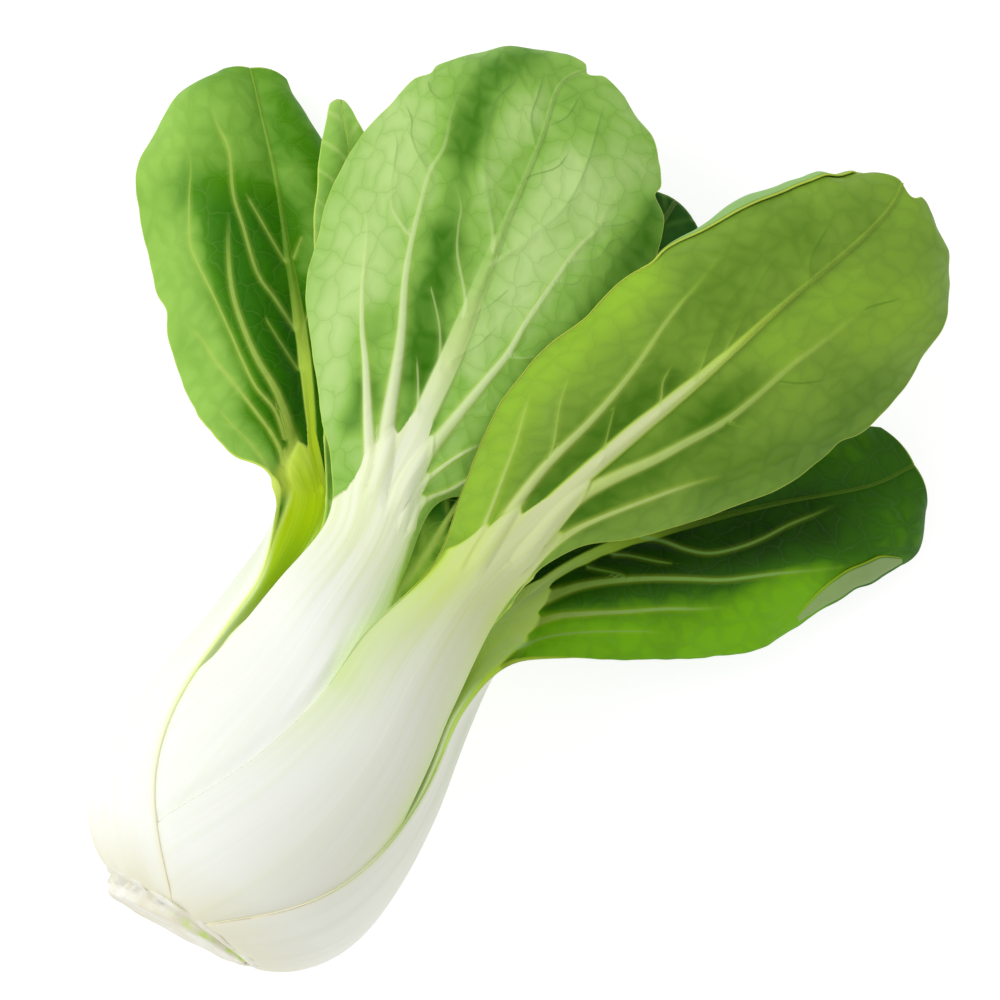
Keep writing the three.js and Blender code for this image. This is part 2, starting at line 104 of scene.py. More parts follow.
RIB_RELIEF = 1.5
RIB_HALF_WIDTH = 2.2
RIB_TIP_HALF_WIDTH = 0.22
RIB_TAPER = 10  # the stalk's swelling runs out to the midrib over about this length

# How far a point shifts in plan for each millimetre of height, seen from above the butt.
PLAN_LEAN = 0.194

# ---- sizes of the finer forms ------------------------------------------------------------------

# Along u.
STALK_START_THINNING = 1.5
STALK_THINNING_LENGTH = 3
STALK_THINNING_SHARE = 0.88
BLADE_THINNING = (1.6, 1.3)
RELIEF_GROWTH = (2.3, 1.7)
MARGIN_WAVE_GROWTH = (0.3, 0.8)  # past the foot of the blade
TIP_GROWTH = (-1.1, 1.1)  # past the tip
FINE_ROWS_BEFORE = 1.7  # before the foot of the blade
PLAIN_ROW_DENSITY = 0.42

# Along the blade, as shares of its length.
RIB_THINNING = (0.25, 0.48)
FADING_START = 0.1
FADING_LENGTH = 0.45

# Past the foot of the blade, in millimetres.
VEIN_GROWTH = (-22, 26)
BAY_GROWTH = (-4, 9)
STRIP_GROWTH = (-28, 30)
NECK_EDGE_GROWTH = (-34, 26)
FLANK_GROWTH = (-6, 16)

# Across v: the close columns at each margin, and the last of the even ones.
RIM_COLUMNS = (0.996, 0.988)
LAST_EVEN_COLUMN = 0.962

# Small waves of a blade's margin, as shares of its half width: each one's size, radians for each
# unit of u and share of the leaf's phase, and for all of them the size and how far in they lie.
MARGIN_WAVES = ((1, 9.1, 1), (0.7, 15.7, 2.1), (0.5, 27.3, 0.7))
MARGIN_WAVE = 0.0022
MARGIN_WAVE_LEVEL = 1.5

# Veins, in millimetres.
NO_VEIN = 9.0  # a distance from which no vein shows
VEIN_RISE = 3.5  # half widths over which a side vein rises out of the leaf
UNRISEN_VEIN = 2.0  # how much further off a side vein counts where it has not risen
LEAST_VEIN = 0.3  # half width where there is no side vein
VEIN_SPACING = 8.5
GROOVE_DEPTH = 0.32
GROOVE_HALF_WIDTH = 1.7
BAY_DEPTH = 4.5
FAR_VEIN = 4

# Light through the flanks of the white on the minus and the plus side, the soft border of white
# and green on the blade and how much softer it is on the stalk, and where a border is out of
# reach.
FLANK_GLOWS = (0.7, 0.35)
SOFT_BORDER = 0.45
SOFTER_BORDER = 0.85
FAR_BORDER = 5

# Roughness of the leaf bases where they were cut, in millimetres: where in x it starts to fade,
# over what length, and its height.
CUT_X = 1.3
CUT_LENGTH = 2.2
CUT_ROUGHNESS = 0.3

# Leaves from the outermost in.
# start: where it leaves the butt, in x. thickness: of its stalk, which starts to fall to the
# midrib's at thinning, in u. blade: the foot of the blade, in u. rib: half the midrib's width
# there. fading: where the midrib starts to turn green, as a share of the blade. kind: its slot.
# strips: widths of the green beside the stalk at the plus and the minus margin. fan: for either
# side, where green starts at the margin and where only the midrib is left white, in millimetres
# past the foot of the blade. bay: how far green runs back down between two veins for each
# millimetre of room there. plus and minus: the margins in the bulb, in degrees round the axis,
# as the angle at the neck and how much further round the margin starts at the base. crown: how
# far the blade bulges on either side. ruffle: size, number and phase of the margin's waves.
# rails: [plus margin, midrib, minus margin] at each station past the bulb.
LEAVES = [
    dict(name="right", start=1.3, thickness=7.5, blade=3.15, kind="outer", rib=1.4,
         strips=(0.8, 1.5), fan=((-8, 15), (-8, 13)), bay=2,
         plus=(-64, 42), minus=(-122, -36), crown=(-5, -2), ruffle=(0.66, 5, 0.4),
         rails=[[(78.5, -24.5, 31), (83, -22, 20), (85, -17.5, 12)],
                [(88.6, -35.5, 22), (97, -22, 17), (99, -16, 9)],
                [(100, -51, 15), (112, -29, 16), (114, -19, 6)],
                [(113, -65, 9), (127, -41, 15), (133, -29.5, 6)],
                [(130, -73.5, 6), (141, -53.5, 13), (150, -42.5, 7)],
                [(147.5, -82, 6), (154, -66, 11), (161.5, -54.5, 9)],
                [(157.5, -79, 7), (164, -72, 9), (166.5, -62, 9)]]),
    dict(name="left", start=1.3, thickness=7.5, thinning=2.5, blade=3.4, rib=1.5,
         kind="outer", strips=(1.0, 2.0), fan=((-6, 14), (-8, 15)),
         plus=(122, 36), minus=(60.5, -42.5), crown=(-2, -5), ruffle=(0.66, 5, 2.1),
         rails=[[(84, 19.5, 15), (82, 28.5, 20.5), (79, 31, 32)],
                [(89, 21, 13), (87.6, 29.3, 18), (83.5, 36, 28)],
                [(98.5, 24, 9), (96.4, 34.2, 16), (84.6, 49, 21)],
                [(115, 28.5, 6), (110.5, 45, 15), (92, 62, 14)],
                [(133, 42.5, 6), (126, 59, 14), (108, 80, 9)],
                [(145, 56.5, 7), (139, 71, 13), (123.7, 94, 6)],
                [(152, 71, 8), (148.5, 81, 12), (141, 96.5, 6)],
                [(157.5, 80.5, 8), (155, 87.5, 9), (149, 92.5, 7)]]),
    dict(name="front_right", start=1.3, thickness=7, blade=3.3, kind="outer", rib=1.8,
         fading=0.32,
         strips=(1.5, 0), fan=((-8, 16), (-2, 24)),
         plus=(-3, 42), minus=(-53.5, -4), crown=(1.5, 2.5), ruffle=(0.59, 6, 1.2),
         rails=[[(84, -1.3, 47), (85.5, -10, 48.5), (86.5, -17.5, 43)],
                [(101, 2.5, 47), (103.5, -13, 48.5), (102.5, -22.5, 42)],
                [(120, 5.5, 47), (123, -18, 50), (120.5, -38.5, 37)],
                [(143.5, 1, 47), (145, -24.5, 51), (145.5, -53.5, 34)],
                [(167, -6, 46), (166.5, -30, 50.5), (169.5, -60, 32)],
                [(187, -16, 43.5), (184.5, -35, 47), (188.5, -58.5, 33)],
                [(194.5, -22.5, 41.5), (196, -37, 43.5), (197.5, -52, 35)],
                [(200, -29, 39.5), (203.5, -36.5, 40), (201.5, -45, 37)]]),
    dict(name="under", start=1.3, thickness=7, blade=3.1, kind="outer",
         strips=(1, 1), fan=((-4, 14), (-4, 14)),
         plus=(208, 44), minus=(152, -44), crown=(0, 0), ruffle=(0.21, 5, 0),
         rails=[[(84, -11, 5.5), (84, 1.5, 3), (84, 14, 5.5)],
                [(98, -24, 3), (98, 1, 2.2), (98, 26, 3)],
                [(118, -33, 1), (118, 0, 1.6), (118, 34, 1)],
                [(142, -31, 0.6), (142, -1, 1.3), (142, 30, 0.6)],
                [(166, -21, 1), (166, -1, 1.2), (166, 20, 1)],
                [(180.5, -9.5, 3), (184, -0.5, 3.5), (181, 8, 3)]]),
    dict(name="front_left", start=1.3, thickness=7, blade=3.5, kind="outer",
         strips=(0, 1.8), fan=((-5, 20), (-1, 21)),
         plus=(42, 54), minus=(-5.5, -32), crown=(2.5, 1), ruffle=(0.52, 6, 0.2),
         rails=[[(80, 20.8, 43.5), (80, 11.5, 48), (80, 2.4, 44.7)],
                [(90, 26.5, 41.5), (93, 14.5, 46.5), (94, 4.8, 43)],
                [(101, 37, 39.5), (104, 16, 46), (103, -1.5, 40.5)],
                [(121.5, 52.5, 35), (122, 18.9, 45.6), (121.5, -9, 38)],
                [(148.5, 59, 32.5), (143.5, 23.5, 45), (145.5, -10.5, 37)],
                [(171, 55, 31), (166.5, 28, 42), (168.5, -1.5, 36)],
                [(183, 45, 30), (180.5, 31.5, 37), (181.5, 7.8, 34)],
                [(187.5, 36, 31), (189, 28.5, 32.5), (188, 20, 32)]]),
    dict(name="inner_left", start=4, thickness=5, blade=3.2, kind="inner",
         strips=(1.5, 1.5), fan=((-6, 10), (-6, 10)),
         plus=(101, 30), minus=(49, -30), crown=(0, -1.5), ruffle=(0.35, 4, 0),
         rails=[[(84, 16.5, 24), (84, 19.5, 29), (80.5, 21.5, 34)],
                [(100, 19.5, 21.5), (100, 25.5, 25.5), (96, 31.5, 31)],
                [(120, 27, 22), (117, 37, 25), (114, 45.5, 29)],
                [(142, 42, 24), (137, 51, 26), (132, 57.5, 29)],
                [(151, 56, 26), (148, 60, 27), (143, 63.5, 28)],
                [(155.5, 65, 27), (155.5, 67, 27), (153.5, 68, 27)]]),
    dict(name="inner_right", start=4, thickness=5, blade=3.2, kind="inner",
         strips=(1.5, 1.5), fan=((-6, 10), (-6, 10)),
         plus=(-49, 30), minus=(-101, -30), crown=(-1.5, 0), ruffle=(0.35, 4, 1),
         rails=[[(84, -17.5, 32), (84, -17, 27), (84, -14.5, 22.5)],
                [(100, -19, 30), (102, -18.5, 25), (103, -12, 22)],
                [(117, -30, 29), (122, -28, 25), (125, -17, 22.5)],
                [(139, -46, 27), (142, -39, 25), (145, -28, 23.5)],
                [(153, -49, 26), (156, -44, 25), (156, -37, 24.5)]]),
    dict(name="inner_top", start=6, thickness=4.5, blade=3.2, rib=0.5, kind="inner",
         strips=(1.5, 1.5), fan=((-30, -12), (-30, -12)),
         plus=(24, 30), minus=(-24, -30), crown=(1, 1), ruffle=(0.35, 4, 2),
         rails=[[(84, 10, 40), (84, 1, 41), (84, -8, 40)],
                [(98, 14, 36.5), (98, 1.5, 38), (98, -10, 36.5)],
                [(116, 17, 33), (116, 1, 34.5), (116, -16, 33)],
                [(136, 15, 32), (136, 0, 33.5), (136, -15, 32)],
                [(152, 5, 32.5), (154, 0, 33), (152, -5, 32.5)]]),
    dict(name="inner_low_left", start=6, thickness=4.5, blade=3.2, kind="inner",
         strips=(1.5, 1.5), fan=((-6, 10), (-6, 10)),
         plus=(169, 26), minus=(121, -30), crown=(0, -1), ruffle=(0.28, 4, 0),
         rails=[[(84, 4, 12), (84, 11, 13), (84, 16, 18)],
                [(102, 3.5, 13), (102, 14, 15), (102, 23, 18)],
                [(122, 5, 14), (122, 18, 16), (122, 31, 19)],
                [(140, 12, 16), (138, 22, 17), (136, 31, 18.5)],
                [(148, 20, 17.5), (149, 24, 18), (147, 28, 18)]]),
    dict(name="inner_low_right", start=6, thickness=4.5, blade=3.2, kind="inner",
         strips=(1.5, 1.5), fan=((-6, 10), (-6, 10)),
         plus=(-121, 30), minus=(-169, -26), crown=(-1, 0), ruffle=(0.28, 4, 1),
         rails=[[(84, -11.5, 17), (84, -8, 13), (84, -1, 12)],
                [(101, -17, 19.5), (102, -9, 15.5), (103, 0, 13.3)],
                [(121, -28, 20), (122, -15, 16.5), (123, -2, 14)],
                [(138, -31, 20), (140, -20, 17.5), (141, -9, 16)],
                [(149, -26, 18.5), (151, -22, 18), (150, -18, 17.5)]]),
    dict(name="heart", start=9, thickness=4.5, blade=3.2, kind="heart",
         strips=(1.5, 1.5), fan=((-6, 10), (-6, 10)),
         plus=(206, 30), minus=(154, -30), crown=(0, 0), ruffle=(0.35, 3, 0),
         rails=[[(84, -8, 21), (84, 1, 17), (84, 10, 21)],
                [(98, -11, 25), (98, 0, 21), (98, 11, 25)],
                [(112, -10, 28), (112, 0, 25), (112, 9, 28)],
                [(122, -4, 29), (124, 0, 28.5), (122, 3, 29)]]),
]

# ---- veins and painted light and shade ------------------------------------------------------

# Side veins of the four leaves that show their blades, in plan, as (half width at the start and
# end, paleness at the start and end, points). Low paleness paints the vein with the shade of a
# groove. height is the level that the plan is drawn for.
VEINS = {
    "left": dict(height=15, veins=[
        (1.6, 0.4, 1.0, 0.35, [(80, 32), (90, 34.5), (94.4, 36.5), (100.5, 44.2), (104.7, 52.6),
                                (111.6, 62.2), (119.3, 68.9), (128.4, 74.8)]),
        (0.55, 0.25, 0.8, 0.3, [(84, 33.5), (89.7, 35.5), (92.8, 39.7), (95.3, 46.4),
                                (97.4, 52.7), (98.9, 57.9), (101.3, 63.7), (102.1, 69.8)]),
        (0.35, 0.2, 0.7, 0.3, [(93, 36.8), (97.3, 42.4), (99.1, 48.2), (102.3, 53.9),
                               (106.1, 59.9), (109.8, 66), (113.7, 72.8), (116.3, 76.4),
                               (123.6, 81.6), (130.7, 86.1), (134.6, 92)]),
        (0.3, 0.2, 0.5, 0.2, [(86, 34.8), (89, 42.1), (90.1, 47.7), (91.7, 53.7)]),
        (0.3, 0.2, 0.5, 0.3, [(124.7, 57.1), (131.5, 58.8)]),
        (0.35, 0.2, 0.5, 0.3, [(112, 45.8), (116, 48), (120, 49.2)]),
        (0.3, 0.2, 0.5, 0.3, [(123.5, 57.5), (125.6, 62), (129.3, 69.3), (131.4, 73.6)]),
        (0.3, 0.3, 0.5, 0.4, [(113, 48), (116.3, 55.6), (118.7, 61.5), (125, 69.2),
                              (129.7, 74.9), (136.7, 80.7), (139.8, 85.6), (143.8, 90.4)]),
        (0.3, 0.2, 0.4, 0.2, [(106.5, 43), (110.4, 51.6), (112.5, 55.9)]),
    ]),
    "front_left": dict(height=35, veins=[
        (1.7, 0.3, 1.0, 0.1, [(88, 17.5), (95, 19.5), (102.8, 25.1), (111.4, 31.4), (117, 36),
                              (123.1, 40.2), (127.4, 42.7), (135.4, 47.5), (140.5, 53.2)]),
        (2.1, 0.35, 1.0, 0.0, [(87, 14), (95, 17), (105, 21.9), (114.8, 26.4), (121.4, 29.7),
                                (130, 34.6), (137.3, 37.9), (144, 40.4), (150.9, 42.7),
                                (157.1, 43.3), (165.7, 46.7), (177.6, 48.1)]),
        (0.4, 0.2, 0.3, -0.2, [(137.3, 37.9), (139.6, 43.3), (141.5, 45.7), (144.9, 47.7),
                               (147.7, 49), (152.1, 51.3), (155.5, 55.1)]),
        (0.35, 0.2, 0.0, -0.3, [(150.9, 42.7), (152.8, 46.8), (155.4, 50.1), (158.3, 52),
                                (161.2, 56.5)]),
        (0.3, 0.2, 0.0, -0.3, [(164.3, 46.9), (165.1, 51.8), (167.6, 54.4)]),
        (0.55, 0.3, 0.3, -0.3, [(143, 22.9), (146.1, 24.6), (148.8, 26.7), (153.6, 31),
                                (161.7, 36.7), (169.8, 40), (175.8, 39.3), (179.3, 40.4)]),
        (0.45, 0.2, 0.4, 0.0, [(129, 20.8), (133.5, 22.8), (139.9, 28.9), (145, 32),
                               (148.6, 33.8), (153.4, 39.1)]),
        (0.4, 0.2, 0.3, 0.1, [(117, 18.6), (122, 21.1), (126.4, 24.3), (130.6, 28.6),
                              (132.5, 31)]),
        (0.35, 0.2, 0.4, 0.2, [(108, 17.6), (113, 20.3), (119, 24.6)]),
        (0.55, 0.25, 0.3, -0.3, [(141, 22.4), (143.8, 21.6), (151.2, 18.9), (159.3, 16.7),
                                 (168.5, 17.5), (179, 20.8), (184.9, 22.9)]),
        (0.3, 0.2, -0.1, -0.3, [(160, 26.2), (161.9, 25.6), (166.3, 22.4), (171.7, 22.5)]),
        (0.3, 0.2, -0.1, -0.3, [(172, 28.8), (176.2, 26.6), (182.5, 27.2)]),
        (0.3, 0.2, -0.1, -0.3, [(167, 28), (171.5, 32.3), (176, 33.8), (182, 35.7)]),
        (0.3, 0.2, 0.1, -0.2, [(130, 20), (133.2, 18.7), (137.2, 17.3), (141.4, 16.5)]),
        (0.3, 0.2, 0.1, -0.2, [(120, 18.2), (124.6, 16.5), (127.9, 15.2), (133.4, 14.2)]),
        (2.0, 0.35, 1.0, 0.1, [(88, 9.5), (96, 11.6), (104, 11.8), (112.4, 11.2), (121.7, 10.4),
                               (128.9, 9.8), (135.5, 10.3), (145.1, 10.3), (154.1, 10.3),
                               (160.4, 9.2), (166.6, 9.8), (175.6, 7.4)]),
        (0.35, 0.2, 0.3, 0.0, [(126, 10), (128.5, 9.2), (130.4, 6.4), (133.2, 4.1)]),
        (0.35, 0.2, 0.1, -0.2, [(159, 9.6), (160.6, 9.3), (164.3, 5.3), (168.2, 3.2)]),
        (0.35, 0.2, 0.1, -0.2, [(150, 10.2), (151.5, 9.8), (155.2, 5.8), (160, 5.4),
                                (163.3, 2.3)]),
        (0.35, 0.2, 0.1, -0.2, [(144.5, 10.4), (146.2, 10), (148, 6.9), (151.4, 5.6)]),
        (1.3, 0.3, 1.0, 0.6, [(87, 7.5), (93, 9.6), (98, 9.4), (103, 8), (108, 6), (113, 3)]),
        (1.1, 0.3, 1.0, 0.6, [(87, 5.5), (92, 7.2), (96, 7), (100, 4.5), (104, 2.5), (108, 0)]),
    ]),
    "front_right": dict(height=42, veins=[
        (1.6, 0.35, 1.0, 0.1, [(86, -8.5), (96, -8.2), (105.2, -8), (114.6, -8.8),
                                (124.7, -10.8), (133.7, -12), (141.3, -12.5), (148.9, -12.5),
                                (155.4, -12.9), (161.6, -13.6), (175.2, -14.3)]),
        (0.5, 0.2, 0.7, 0.2, [(86, -6), (96.9, -5.2), (106.6, -3.1), (114.2, -1.3),
                              (120.8, 0.8), (124.9, 1.9)]),
        (0.35, 0.2, 0.4, 0.1, [(113, -8.6), (117.7, -7.6), (125.1, -4.3), (133.2, -2.1)]),
        (0.35, 0.2, 0.5, 0.1, [(134, -21), (137.4, -19.8), (140.4, -18.3), (145.1, -18)]),
        (0.35, 0.2, 0.4, 0.0, [(119, -16.8), (123, -15.9), (127.9, -14.2), (133.1, -12.4)]),
        (0.4, 0.2, 0.3, -0.2, [(143, -23.3), (147.4, -22.8), (151.7, -21.6), (160.7, -20.5),
                               (170.1, -22.3)]),
        (0.4, 0.2, 0.2, -0.2, [(151, -25.3), (154.3, -24.8), (160, -24.2), (170, -23.2),
                               (175.3, -23.8)]),
        (0.35, 0.2, 0.0, -0.3, [(173, -31.8), (177.4, -29.2), (181.2, -28.7), (187.7, -28.5)]),
        (1.9, 0.4, 1.0, 0.0, [(90, -14.5), (100, -15.2), (111.1, -17), (119.2, -21),
                               (126.4, -25.4), (133.2, -28.9), (140.7, -32.7), (148.9, -35.3),
                               (156.8, -37.3), (163.2, -39.5), (169.7, -41.7), (177.1, -44.1),
                               (189.5, -46.6)]),
        (1.2, 0.3, 1.0, 0.4, [(90, -16.6), (98, -17.4), (104, -19.2), (109.1, -21.8),
                               (118, -27.8), (126, -33.6), (133.2, -39.9)]),
        (0.35, 0.2, -0.1, -0.3, [(151, -36), (153.1, -36.6), (155.8, -41.1), (160.5, -46.1)]),
        (0.35, 0.2, 0.2, -0.1, [(139, -32), (140.4, -32.9), (142.7, -37.7), (148.3, -44.4)]),
        (0.35, 0.2, -0.1, -0.3, [(175, -43.6), (176.8, -44.3), (182.7, -49.3)]),
    ]),
    "right": dict(height=10, veins=[
        (1.5, 0.3, 1.0, 0.5, [(84, -20.5), (90, -21), (95.8, -23.2), (101.5, -26.6),
                               (106.1, -30.8), (111.9, -37.8), (117, -45.3), (121.3, -51.9),
                               (128.2, -59.8), (134.4, -67.3), (141.9, -75.6)]),
        (1.1, 0.3, 1.0, 0.5, [(83, -22), (89.6, -23.7), (95.2, -27.1), (100.3, -33.1),
                              (104.7, -38.9), (109.2, -44.6), (113.3, -50.6), (119, -58)]),
        (0.4, 0.2, 0.7, 0.3, [(82, -23.5), (85.9, -25.2), (90.3, -27.4), (96.1, -33.7),
                              (102.7, -43.1), (106, -49)]),
        (0.4, 0.25, 0.6, 0.3, [(118, -32.2), (120.4, -36.6), (121.9, -42.1), (124.1, -46.5),
                               (128.6, -50.8), (132.9, -53.8), (138.3, -56.8), (143.8, -60.6),
                               (148.4, -63.4)]),
        (0.35, 0.2, 0.6, 0.2, [(112, -29.5), (114.1, -32.8), (116.5, -38.4), (118.7, -42.7)]),
        (0.3, 0.2, 0.5, 0.2, [(107, -26.5), (109, -31), (111, -36)]),
    ]),
}

# Painted highlight (positive) and painted shade (negative) over those blades, in plan: (amount,
# half width, points). They stand for sheen, for slopes that face the light or turn from it, for
# folds and for the shadows that leaves above cast.
PAINTED_LIGHT_WASHES = {
    "left": [
        (1.1, 8.5, [(84, 42), (86, 54), (90, 64), (99, 74), (108, 83), (122, 93), (136, 97)]),
        (-0.9, 9, [(95, 38), (105, 47), (114, 60), (124, 70)]),
        (-0.4, 10, [(110, 40), (122, 50), (135, 62)]),
        (0.45, 8, [(138, 78), (146, 86)]),
        (0.45, 5, [(86, 36), (90, 41)]),
        (0.8, 5, [(97, 52), (103.7, 62), (110, 71), (118, 78)]),
        (0.8, 4.5, [(126, 53.5), (133, 58), (139, 66)]),
    ],
    "front_left": [
        (0.5, 9, [(105, 33), (120, 42), (135, 48), (150, 50), (158, 54)]),
        (-0.95, 3.4, [(115, 22), (121.5, 25), (130, 28.6), (138.5, 31), (141, 32.5)]),
        (-0.55, 3.2, [(144, 34), (152, 36.5), (161.7, 40), (174.1, 43.5), (181, 42)]),
        (-0.8, 2.6, [(100, 27.5), (103, 28.5), (107, 29)]),
        (-0.5, 3.5, [(106, 26), (112, 33), (120, 35)]),
        (-0.5, 2.2, [(110, 13.4), (119, 14)]),
        (-0.45, 4.5, [(158, 41), (170, 44), (182, 40)]),
        (0.35, 4, [(156, 33), (164, 34), (172, 34)]),
        (0.3, 4, [(140, 12.5), (150, 12.5), (160, 11)]),
        (0.5, 4.5, [(112, 14), (125, 15), (140, 16), (155, 20), (168, 20)]),
        (-0.6, 3.2, [(170, 2), (160.9, 0), (149.7, 0), (140.7, -1), (130, -3)]),
        (0.35, 6, [(165, 14), (176, 10)]),
        (-0.5, 1.6, [(104, 17.8), (114, 21), (124, 22.5)]),
    ],
    "front_right": [
        (0.7, 5, [(95, -2), (105, 0), (120, 3), (140, 0), (155, -4)]),
        (-0.7, 4, [(106, -10.5), (115, -12), (128, -15.5), (140, -18.5)]),
        (-0.65, 4, [(110, -19), (124, -25.5), (140, -30.5), (150, -33)]),
        (0.3, 5, [(150, -30), (165, -35), (178, -39)]),
        (-0.4, 6, [(130, -40), (145, -50), (165, -56)]),
        (0.35, 5, [(170, -48), (185, -50)]),
        (-0.25, 8, [(150, -16), (165, -18), (180, -22)]),
    ],
    "right": [
        (1.0, 8, [(92, -31), (98, -40), (106, -52), (114, -61), (124, -66)]),
        (0.7, 5, [(88, -27), (93, -32)]),
        (0.5, 5, [(112, -55), (124, -62), (134, -68)]),
        (-0.9, 8, [(102, -22), (115, -33), (128, -48), (140, -60)]),
    ],
}

# A margin that is folded back over the blade: which margin, from and to in u, over what length
# it widens, the share of the half width that is folded, and how far it stands off the blade,
# outwards or inwards.
HEMS = {
    "right": dict(side=1, start=6.1, end=8.1, ramp=1.3, share=0.26, lift=-0.9),
    "front_right": dict(side=1, start=6.5, end=9.9, ramp=1.2, share=0.14, lift=0.3),
}

# Notches in a margin or the tip: (side, u, width in u, depth as a share of the half width). Side
# 0 is the tip, with v in place of u.
NOTCHES = {
    "left": [(-1, 6.6, 0.12, 0.05), (-1, 9.55, 0.12, 0.05)],
    "front_left": [(1, 7.9, 0.1, 0.05), (-1, 8.3, 0.12, 0.07), (0, -0.1, 0.16, 0.9)],
    "front_right": [(0, -0.25, 0.2, 1.4), (-1, 6.3, 0.1, 0.04), (1, 6.6, 0.14, 0.05)],
    "right": [(1, 7.3, 0.12, 0.05), (-1, 7.2, 0.15, 0.07)],
}

# Rows and columns of a leaf's mesh.
GRIDS = {
    "left": (330, 121), "front_left": (340, 129), "front_right": (350, 125), "right": (370, 121),
    "under": (150, 61), "inner_left": (190, 61), "inner_top": (150, 61), "heart": (150, 61),
}
PLAIN_GRID = (120, 41)


# ---- colours --------------------------------------------------------------------------------

def linear(code):
    """An sRGB hex colour as linear red, green, blue: c/12.92 up to 0.04045, and above it
    ((c + 0.055) / 1.055) to the power 2.4."""
    channels = [int(code[i:i + 2], 16) / 255 for i in (1, 3, 5)]
    return tuple(c / 12.92 if c <= 0.04045 else ((c + 0.055) / 1.055) ** 2.4 for c in channels)


def colour(name, description, code):
    """A colour that a user may change."""
    return FloatVectorProperty(name=name, description=description, subtype="COLOR", size=3,
                               min=0, max=1, default=linear(code))


# Painted light through a stalk near its plus and minus margins: width in millimetres, and strength
# in the bulb and at the neck.
GLOWS = {
    "left": ((10, 0.9, 0.6), (0.9, 0.7, 0.9)),
    "front_left": ((1.6, 0.3, 0.25), (4, 0, 0.6)),
    "front_right": ((7.5, 0, 0.62), (3.5, 0.75, 0.5)),
    "right": ((0.9, 0.7, 0.9), (10, 0.9, 0.6)),
}
PLAIN_GLOW = ((2, 0.5, 0.8), (2, 0.5, 0.8))

# Where the tint of the neck starts and how long it takes to grow, in millimetres up to the foot
# of the blade, and how strongly painted shade darkens the stalk's hollow.
NECKS = {"left": (66, 56, 0.75), "right": (84, 66, 0.9), "front_right": (47, 46, 0)}
PLAIN_NECK = (38, 36, 0)

# Colours of each leaf: the blade where it is deep, usual and pale, which painted light and shade
# and clouds pick between, the stalk in the bulb towards its plus margin and, in painted shade,
# towards its minus margin, at the neck, the painted light through it towards the plus and minus
# margins, the side veins, and the edge of the blade.
LEAF_COLOURS = {
    "left": ("#2a6c00", "#4a8a00", "#98c854", "#f8faf3", "#f8faf3", "#b4cc14", "#b8d828",
             "#dcee78", "#b9cf6a", "#c8dc58"),
    "front_left": ("#387400", "#8ebe50", "#c8e496", "#f8faf3", "#f8faf3", "#f0f5d8", "#e6edb8",
                   "#b4d85c", "#eef5d0", "#c4dc58"),
    "front_right": ("#3a6c00", "#7ba034", "#98c634", "#f8faf3", "#ecede0", "#d2daa6", "#bedc48",
                    "#b8d058", "#ccd89c", "#d0e05c"),
    "right": ("#163800", "#346804", "#74b40c", "#f4f5ea", "#eeefe4", "#9cb268", "#a8c83c",
              "#8fa830", "#9ab884", "#a0b828"),
    "under": ("#1b4410", "#2b5d1c", "#4a7f38", "#f0f1e4", "#f0f1e4", "#d5ddb0", "#c3d67c",
              "#c3d67c", "#6d9850", "#7ca040"),
    "inner": ("#4c8c10", "#8cc04c", "#b4dc78", "#eef3d8", "#eef3d8", "#d4ea78", "#d0e860",
              "#d0e860", "#c2dc8c", "#cce468"),
    "inner_top": ("#0e3400", "#2c6c08", "#8cb83c", "#eaf0c8", "#eaf0c8", "#b8d264", "#b8d860",
                  "#b8d860", "#a4c860", "#d0e060"),
    "heart": ("#245c04", "#4c8c14", "#a0c84c", "#eaf0c8", "#eaf0c8", "#b8d264", "#b8d860",
              "#b8d860", "#a4c860", "#d0e060"),
}


# What those colours are called in a leaf's tissue.
TINTS = ("deep", "usual", "pale", "bulb", "bulb_minus", "neck", "glow", "glow_minus", "vein",
         "edge")

# Whether a leaf shows its back, how strong its net of fine veins is, how much of the neck's tint
# its outer skin takes, and how mottled its green is.
LEAF_KINDS = {
    "left": (False, 0.07, 0.15, 0.16), "front_left": (True, 0.15, 1, 0.16),
    "front_right": (True, 0.08, 1, 0.16), "right": (False, 0.05, 0.15, 0.16),
    "inner_top": (False, 0.4, 1, 1.2),
}
PLAIN_KIND = (False, 0.08, 1, 0.16)
KIND_FACTS = ("back_shown", "net_strength", "skin_tint", "mottle")

# Facts that a leaf's mesh carries for its tissue.
LEAF_FACTS = ("border", "across", "neck", "hollow", "glow", "minus", "distant", "edge",
              "vein_side", "vein_far", "vein_half", "vein_tone", "vein_start", "painted_light_and_tone", "back",
              "fold")

BASE_CREAM = "#e2dcb4"  # of stalks at the butt
MARGIN_CREAM = "#e6deba"  # of their margins in the bulb
HEM_FACE = "#9cc87c"  # inner face of a blade, shown by a hem that folds over its back
HEM_BACK = "#96ae70"  # back of a blade, shown by a hem that folds over its face
PITH_DARK = "#e6dfc4"
PITH_LIGHT = "#f8f8f0"
PITH_SPECKS = "#c9b98c"

# Relief that is too fine for the meshes, in metres.
STRAND_RELIEF = 0.00014
QUILT_RELIEF = 0.00006
CUT_RELIEF = 0.0006
PAPER_RELIEF = 0.00002


# ---- the bulb and the leaf sheets -------------------------------------------------------------

def smooth(t):
    """3t^2 - 2t^3 between 0 and 1, and flat outside."""
    t = np.clip(t, 0, 1)
    return t * t * (3 - 2 * t)


def grown(value, growth):
    """smooth((value - start) / length), for a growth of (start, length)."""
    start, length = growth
    return smooth((value - start) / length)


def spline(points, t):
    """Catmull-Rom curve through the points, one unit of t for each span."""
    points = np.asarray(points, float)
    ends = np.vstack([2 * points[0] - points[1], points, 2 * points[-1] - points[-2]])
    i = np.clip(np.floor(t).astype(int), 0, len(points) - 2)
    f = (t - i)[..., None]
    a, b, c, d = ends[i], ends[i + 1], ends[i + 2], ends[i + 3]
    return 0.5 * (2 * b + (c - a) * f + (2 * a - 5 * b + 4 * c - d) * f ** 2
                  + (3 * b - a - 3 * c + d) * f ** 3)


